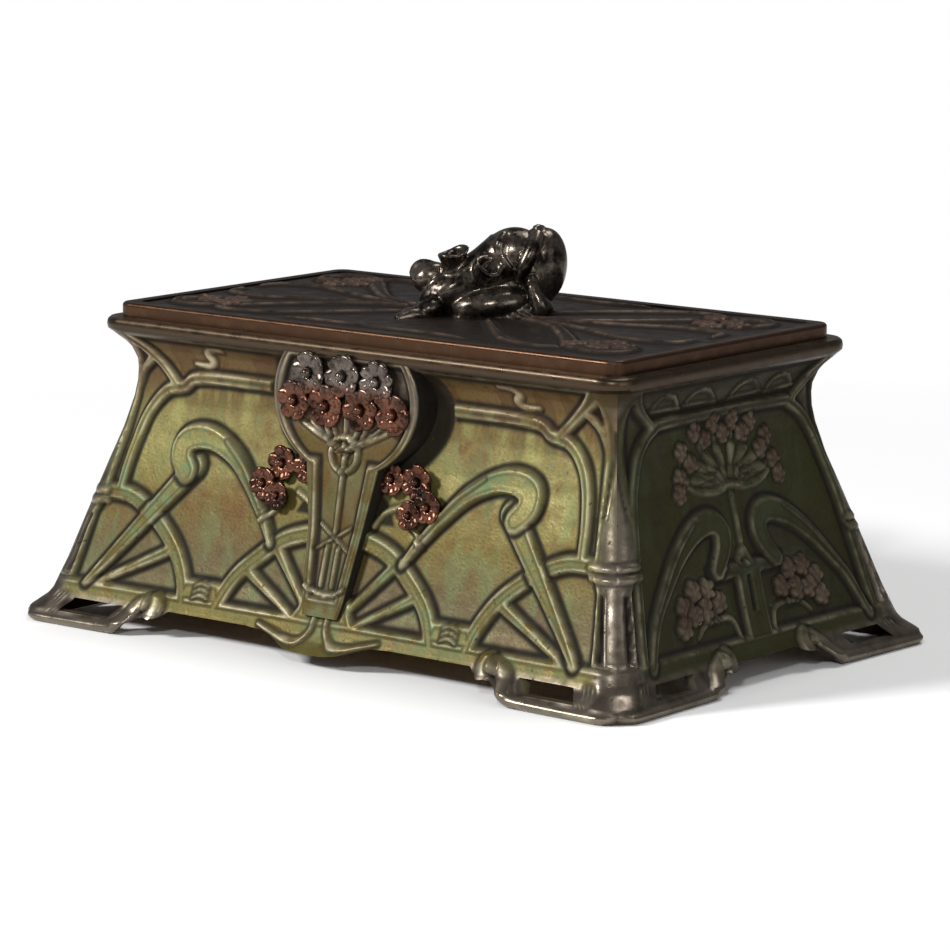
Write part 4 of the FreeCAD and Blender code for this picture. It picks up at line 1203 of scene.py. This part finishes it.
@dataclass(frozen=True)
class PatinatedBronze:
    """Cast bronze: green on the ribs, olive and brown on the panels, with painted light that lightens their
    top, painted shade near black in the grooves and corners, and painted highlights on rubbed edges.
    """

    name: str
    panel: Tone = (90, 78, 34)
    # painted_top_light: the panel tone lightened as painted light near the top
    painted_top_light: Tone = (122, 117, 70)
    stain: Tone = (84, 56, 28)
    shade: Tone = (80, 72, 56)
    green: Tone = (86, 108, 70)
    # groove: near black, for fine dark specks and for the painted shade in grooves and corners
    groove: Tone = (16, 11, 8)
    # rubbed: wear on rib edges, lightened into a painted highlight
    rubbed: Tone = (186, 176, 150)
    polished: Tone = (116, 107, 96)
    tarnish: Tone = (58, 50, 42)
    rim: Tone = (68, 56, 44)
    blossom: Tone = (66, 46, 36)
    metal: float = 0.4
    lid: bool = False
    lid_edge: Pair = (0.097, 0.0996)
    lid_side: Pair = (0.0504, 0.0528)

    def build(self) -> bpy.types.Material:
        """Makes the material."""
        n = Nodes(self.name)
        broad, fine, grain = n.noise(34, 6), n.noise(190, 8), n.noise(1100, 3)
        smear = n.noise(160, 5, (1, 1, 0.25))
        axes = n.axes()
        z = axes["Z"]
        # panels: olive, lightened towards the top by painted light, with brown clouds that thicken under
        # the cove, and fine dark specks
        cloud = n.ramp(n.math("ADD", broad, n.times(fine, 0.55)), 0.74, 1.0)
        under = n.times(n.ramp(z, 0.056, 0.078), n.ramp(smear, 0.36, 0.54))
        under = n.most(under, n.ramp(z, 0.074, 0.082, 0.0, 0.8))
        brown = n.most(n.times(cloud, 0.75), under)
        top_lit_panel = n.mix(n.ramp(z, 0.040, 0.066), srgb(*self.panel), srgb(*self.painted_top_light))
        colour = n.mix(brown, top_lit_panel, srgb(*self.stain))
        # painted shade: low on the wall the cells between the ribs darken to the shade tone
        cells = n.times(n.ramp(z, 0.040, 0.024), n.ramp(n.stored("raised"), 0.6, 0.1))
        colour = n.mix(n.times(cells, 0.6), colour, srgb(*self.shade))
        colour = n.mix(n.times(n.ramp(grain, 0.50, 0.70), 0.26), colour, srgb(*self.groove))
        # green patina on the ribs and in soft clouds on the panels
        raised = n.ramp(n.stored("raised"), 0.05, 0.9)
        bloom = n.times(n.ramp(smear, 0.5, 0.62), 0.28)
        patchy = n.times(n.ramp(fine, 0.40, 0.6, 0.05, 0.75), n.ramp(broad, 0.42, 0.58, 0.2, 1.0))
        green = n.most(n.times(raised, patchy), bloom)
        green = n.times(green, n.ramp(z, 0.070, 0.088, 1.0, 0.2))
        green = n.times(green, n.ramp(z, 0.008, 0.018, 0.5, 1.0))
        if self.lid:
            green = n.times(green, 0.4)
        colour = n.mix(green, colour, srgb(*self.green))
        bloomed = n.times(n.ramp(n.stored("raised"), -0.3, -0.8), 0.75)
        colour = n.mix(bloomed, colour, srgb(*self.blossom))
        # polished parts, rubbed edges lightened with a painted highlight, and painted shade in the grooves
        # and corners
        polish = n.stored("polish")
        if self.lid:
            polish = n.most(*(n.ramp(n.math("ABSOLUTE", axes[axis], 0), *span)
                              for axis, span in (("X", self.lid_edge), ("Y", self.lid_side))))
        dull = n.mix(n.ramp(fine, 0.34, 0.7), srgb(*self.polished), srgb(*self.tarnish))
        dull = n.mix(n.ramp(z, 0.086, 0.091), dull, srgb(*self.rim))
        colour = n.mix(polish, colour, dull)
        scuff_and_glint = n.times(n.ramp(fine, 0.36, 0.62, 0.15, 0.9), n.ramp(broad, 0.40, 0.60, 1.0, 0.3))
        worn_and_highlight = n.times(n.stored("worn_and_highlight"), scuff_and_glint)
        colour = n.mix(worn_and_highlight, colour, srgb(*self.rubbed))
        # painted shade: the grooves and corners darken to near black
        sunk = n.times(n.ramp(n.stored("sunk"), 0.08, 0.8), 0.92)
        colour = n.mix(sunk, colour, srgb(*self.groove))
        n.link(colour, n.shader.inputs["Base Color"])
        n.shader.inputs["Specular IOR Level"].default_value = 0.22
        bright = n.most(n.most(n.times(polish, 0.9), worn_and_highlight), self.metal)
        n.link(n.math("SUBTRACT", bright, n.times(sunk, 0.4)), n.shader.inputs["Metallic"])
        rough = n.math("SUBTRACT", n.ramp(fine, 0.3, 0.7, 0.36, 0.58), n.times(polish, 0.14))
        n.link(n.math("ADD", rough, n.times(sunk, 0.4)), n.shader.inputs["Roughness"])
        relief = n.math("ADD", grain, n.times(fine, 2.0))
        rubbed_flat = n.math("SUBTRACT", 1.0, n.times(polish, 0.8))
        n.bump(n.times(relief, rubbed_flat), 0.26, 0.0003)
        return n.material


@dataclass(frozen=True)
class PolishedMetal:
    """Rubbed metal with darker tarnish in broad clouds and fine wear."""

    name: str
    bright: Tone
    dark: Tone
    rough: Pair = (0.22, 0.42)
    metal: float = 0.9
    silvered_above: float = 0.0
    silver: tuple[Tone, Tone] = ((46, 38, 33), (112, 102, 94))

    def build(self) -> bpy.types.Material:
        """Makes the material."""
        n = Nodes(self.name)
        broad, fine = n.noise(120, 5), n.noise(700, 4)
        mixed = n.ramp(n.math("ADD", broad, n.times(fine, 0.4)), 0.55, 0.85)
        colour = n.mix(mixed, srgb(*self.dark), srgb(*self.bright))
        if self.silvered_above:
            rubbed = n.ramp(n.axes()["Z"], self.silvered_above - 0.004, self.silvered_above)
            colour = n.mix(rubbed, colour, n.mix(mixed, *(srgb(*tone) for tone in self.silver)))
        n.link(colour, n.shader.inputs["Base Color"])
        n.shader.inputs["Metallic"].default_value = self.metal
        n.link(n.ramp(fine, 0.3, 0.7, *self.rough), n.shader.inputs["Roughness"])
        n.bump(fine, 0.25, 0.0003)
        return n.material


@dataclass(frozen=True)
class Porcelain:
    """White glaze with a faint warm cloud."""

    name: str = "glazed_porcelain"
    white: tuple[Tone, Tone] = ((238, 236, 228), (226, 222, 210))

    def build(self) -> bpy.types.Material:
        """Makes the material."""
        n = Nodes(self.name)
        glaze = n.mix(n.noise(60, 3), *(srgb(*tone) for tone in self.white))
        n.link(glaze, n.shader.inputs["Base Color"])
        n.link(n.ramp(n.noise(300, 3), 0.3, 0.7, 0.1, 0.18), n.shader.inputs["Roughness"])
        n.shader.inputs["Coat Weight"].default_value = 0.4
        n.bump(n.noise(250, 2), 0.1, 0.0001)
        return n.material


def dress(piece: bpy.types.Object, material: bpy.types.Material) -> None:
    """Gives a piece one material."""
    piece.data.materials.clear()
    piece.data.materials.append(material)


# ------------------------------------------------------------------ studio
@dataclass
class Studio:
    """Floor, soft lights and the camera."""

    azimuth: float = math.radians(39.9)
    elevation: float = math.radians(10.0)
    distance: float = 1.39
    lens: float = 169.4
    aim: Spot = (0.00146, 0.00122, 0.0488)
    lit: Spot = (0, 0, 0.05)
    lamps: tuple[tuple[str, Spot, float, float], ...] = (
        ("key", (-0.8, -1.2, 0.95), 0.32, 29), ("strip", (0.72, -1.1, 0.75), 0.10, 6),
        ("fill", (1.6, -0.5, 0.5), 0.8, 5), ("top", (0.1, 0.5, 1.4), 0.6, 9))
    floor_glow: float = 0.75
    floor_fade: Pair = (0.2, 0.55)
    surround: float = 0.2

    def camera(self) -> None:
        """Puts the camera at its place."""
        data = bpy.data.cameras.new("camera")
        data.lens, data.sensor_width = self.lens, 36
        data.clip_start, data.clip_end = 0.05, 50
        eye = bpy.data.objects.new("camera", data)
        away = Vector((math.sin(self.azimuth)*math.cos(self.elevation),
                       -math.cos(self.azimuth)*math.cos(self.elevation), math.sin(self.elevation)))
        eye.location = Vector(self.aim) + away*self.distance
        eye.rotation_euler = (-away).to_track_quat("-Z", "Y").to_euler()
        bpy.context.scene.collection.objects.link(eye)
        bpy.context.scene.camera = eye

    def lamp(self, name: str, place: Spot, size: float, power: float) -> None:
        """Adds one soft square lamp that points at the casket."""
        data = bpy.data.lights.new(name, "AREA")
        data.size, data.energy = size, power
        made = bpy.data.objects.new(name, data)
        made.location = place
        made.rotation_euler = (Vector(self.lit) - Vector(place)).to_track_quat("-Z", "Y").to_euler()
        bpy.context.scene.collection.objects.link(made)

    def floor(self) -> None:
        """Lays a pale floor that keeps the casket's shadow."""
        bpy.ops.object.select_all(action="DESELECT")
        bpy.ops.mesh.primitive_plane_add(size=30)
        plane = bpy.context.object
        plane.name = "floor"
        n = Nodes("floor_white")
        n.shader.inputs["Base Color"].default_value = (0.9, 0.9, 0.9, 1)
        n.shader.inputs["Roughness"].default_value = 0.9
        glow = n.add("ShaderNodeEmission")
        blend = n.add("ShaderNodeMixShader")
        path = n.add("ShaderNodeLightPath")
        axes = n.axes()
        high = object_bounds()[1]
        outside = n.most(*(n.ramp(n.math("ABSOLUTE", axes[axis], 0), high[k] - 0.003, high[k] + 0.02)
                           for k, axis in enumerate("XY")))
        watched = n.most(path.outputs["Is Camera Ray"], path.outputs["Is Glossy Ray"])
        reach = n.add("ShaderNodeVectorMath", operation="LENGTH")
        n.link(n.place(), reach.inputs[0])
        far = n.times(n.ramp(reach.outputs["Value"], *self.floor_fade), path.outputs["Is Camera Ray"])
        seen = n.most(n.times(n.times(watched, self.floor_glow), outside), far)
        n.link(seen, blend.inputs[0])
        n.link(n.shader.outputs[0], blend.inputs[1])
        n.link(glow.outputs[0], blend.inputs[2])
        n.link(blend.outputs[0], n.material.node_tree.nodes["Material Output"].inputs["Surface"])
        dress(plane, n.material)
        plane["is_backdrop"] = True

    def world(self) -> None:
        """Sets a plain white surround, dimmer for the light it gives."""
        world = bpy.data.worlds.new("surround")
        bpy.context.scene.world = world
        world.use_nodes = True
        tree = world.node_tree
        back = tree.nodes["Background"]
        back.inputs["Color"].default_value = (1, 1, 1, 1)
        path = tree.nodes.new("ShaderNodeLightPath")
        reach = tree.nodes.new("ShaderNodeMapRange")
        reach.inputs["To Min"].default_value = self.surround
        reach.inputs["To Max"].default_value = 1.0
        tree.links.new(path.outputs["Is Camera Ray"], reach.inputs["Value"])
        tree.links.new(reach.outputs["Result"], back.inputs["Strength"])

    def build(self) -> None:
        """Sets the whole stage."""
        bpy.context.scene.view_settings.view_transform = "Standard"
        self.camera()
        self.floor()
        self.world()
        for lamp in self.lamps:
            self.lamp(*lamp)


def main() -> None:
    """Builds every piece in order and dresses the fixed nodes."""
    logging.basicConfig(level=logging.INFO)
    Studio().build()
    walls, plate, blossoms = Walls(), Medallion(), Blossoms()
    bronze = PatinatedBronze("patinated_bronze").build()
    # the ends in darker tones of the same bronze: painted shade on the sides that turn from the light
    shaded_end_bronze = PatinatedBronze("shaded_end_bronze", panel=(46, 44, 18), painted_top_light=(50, 52, 22), stain=(42, 32, 18),
                                 shade=(42, 40, 24), green=(54, 64, 44), rubbed=(132, 124, 104)).build()
    plate_bronze = PatinatedBronze("plate_bronze", panel=(84, 70, 32), painted_top_light=(88, 74, 38),
                                   green=(92, 106, 74)).build()
    lid_bronze = PatinatedBronze("lid_bronze", panel=(34, 26, 21), painted_top_light=(34, 26, 21), stain=(30, 22, 18),
                                 green=(52, 44, 34), rubbed=(140, 118, 100), rim=(70, 50, 36), metal=0.6,
                                 lid=True).build()
    copper = PolishedMetal("red_copper", (108, 70, 54), (38, 23, 17), (0.2, 0.36), 0.88, 0.085).build()
    dark = PolishedMetal("rubbed_dark_bronze", (104, 95, 86), (32, 26, 22), (0.16, 0.3)).build()
    brass = PolishedMetal("aged_brass", (178, 140, 82), (112, 82, 46)).build()
    porcelain = Porcelain().build()
    made = []
    for side in Side:
        wall = walls.build(side)
        if side is Side.BACK:
            walls.recess(wall)
        dress(wall, bronze if side in (Side.FRONT, Side.BACK) else shaded_end_bronze)
        made.append((wall, "casket", "bronze"))
        LOG.info("wall %s: %d points", side.name, len(wall.data.vertices))
    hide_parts("casket_body")
    for side in (Side.FRONT, Side.BACK):
        disc = plate.build(side)
        dress(disc, plate_bronze)
        flowers = blossoms.build(side, walls, plate)
        dress(flowers, copper)
        made += [(disc, "casket", "bronze"), (flowers, "casket", "bronze")]
        LOG.info("medallion and flowers %s", side.name)
    lid_face = LidRelief().build()
    dress(lid_face, lid_bronze)
    handle = FlowerHandle().build()
    dress(handle, dark)
    made += [(lid_face, "lid", "bronze"), (handle, "lid", "dark_bronze")]
    for piece, body, slot in made:
        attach(piece, body)
    finishes = {"bronze": lid_bronze, "dark_bronze": dark, "brass": brass, "tray_brass": brass,
                "porcelain": porcelain}
    slots = {part["node"]: part["material_slot"] for part in frame["record"]["subparts"]}
    for node, slot in slots.items():
        target = bpy.data.objects.get(node)
        if target is not None:
            dress(target, finishes[slot])
            LOG.info("node %s: %s", node, finishes[slot].name)


if __name__ == "__main__":
    main()
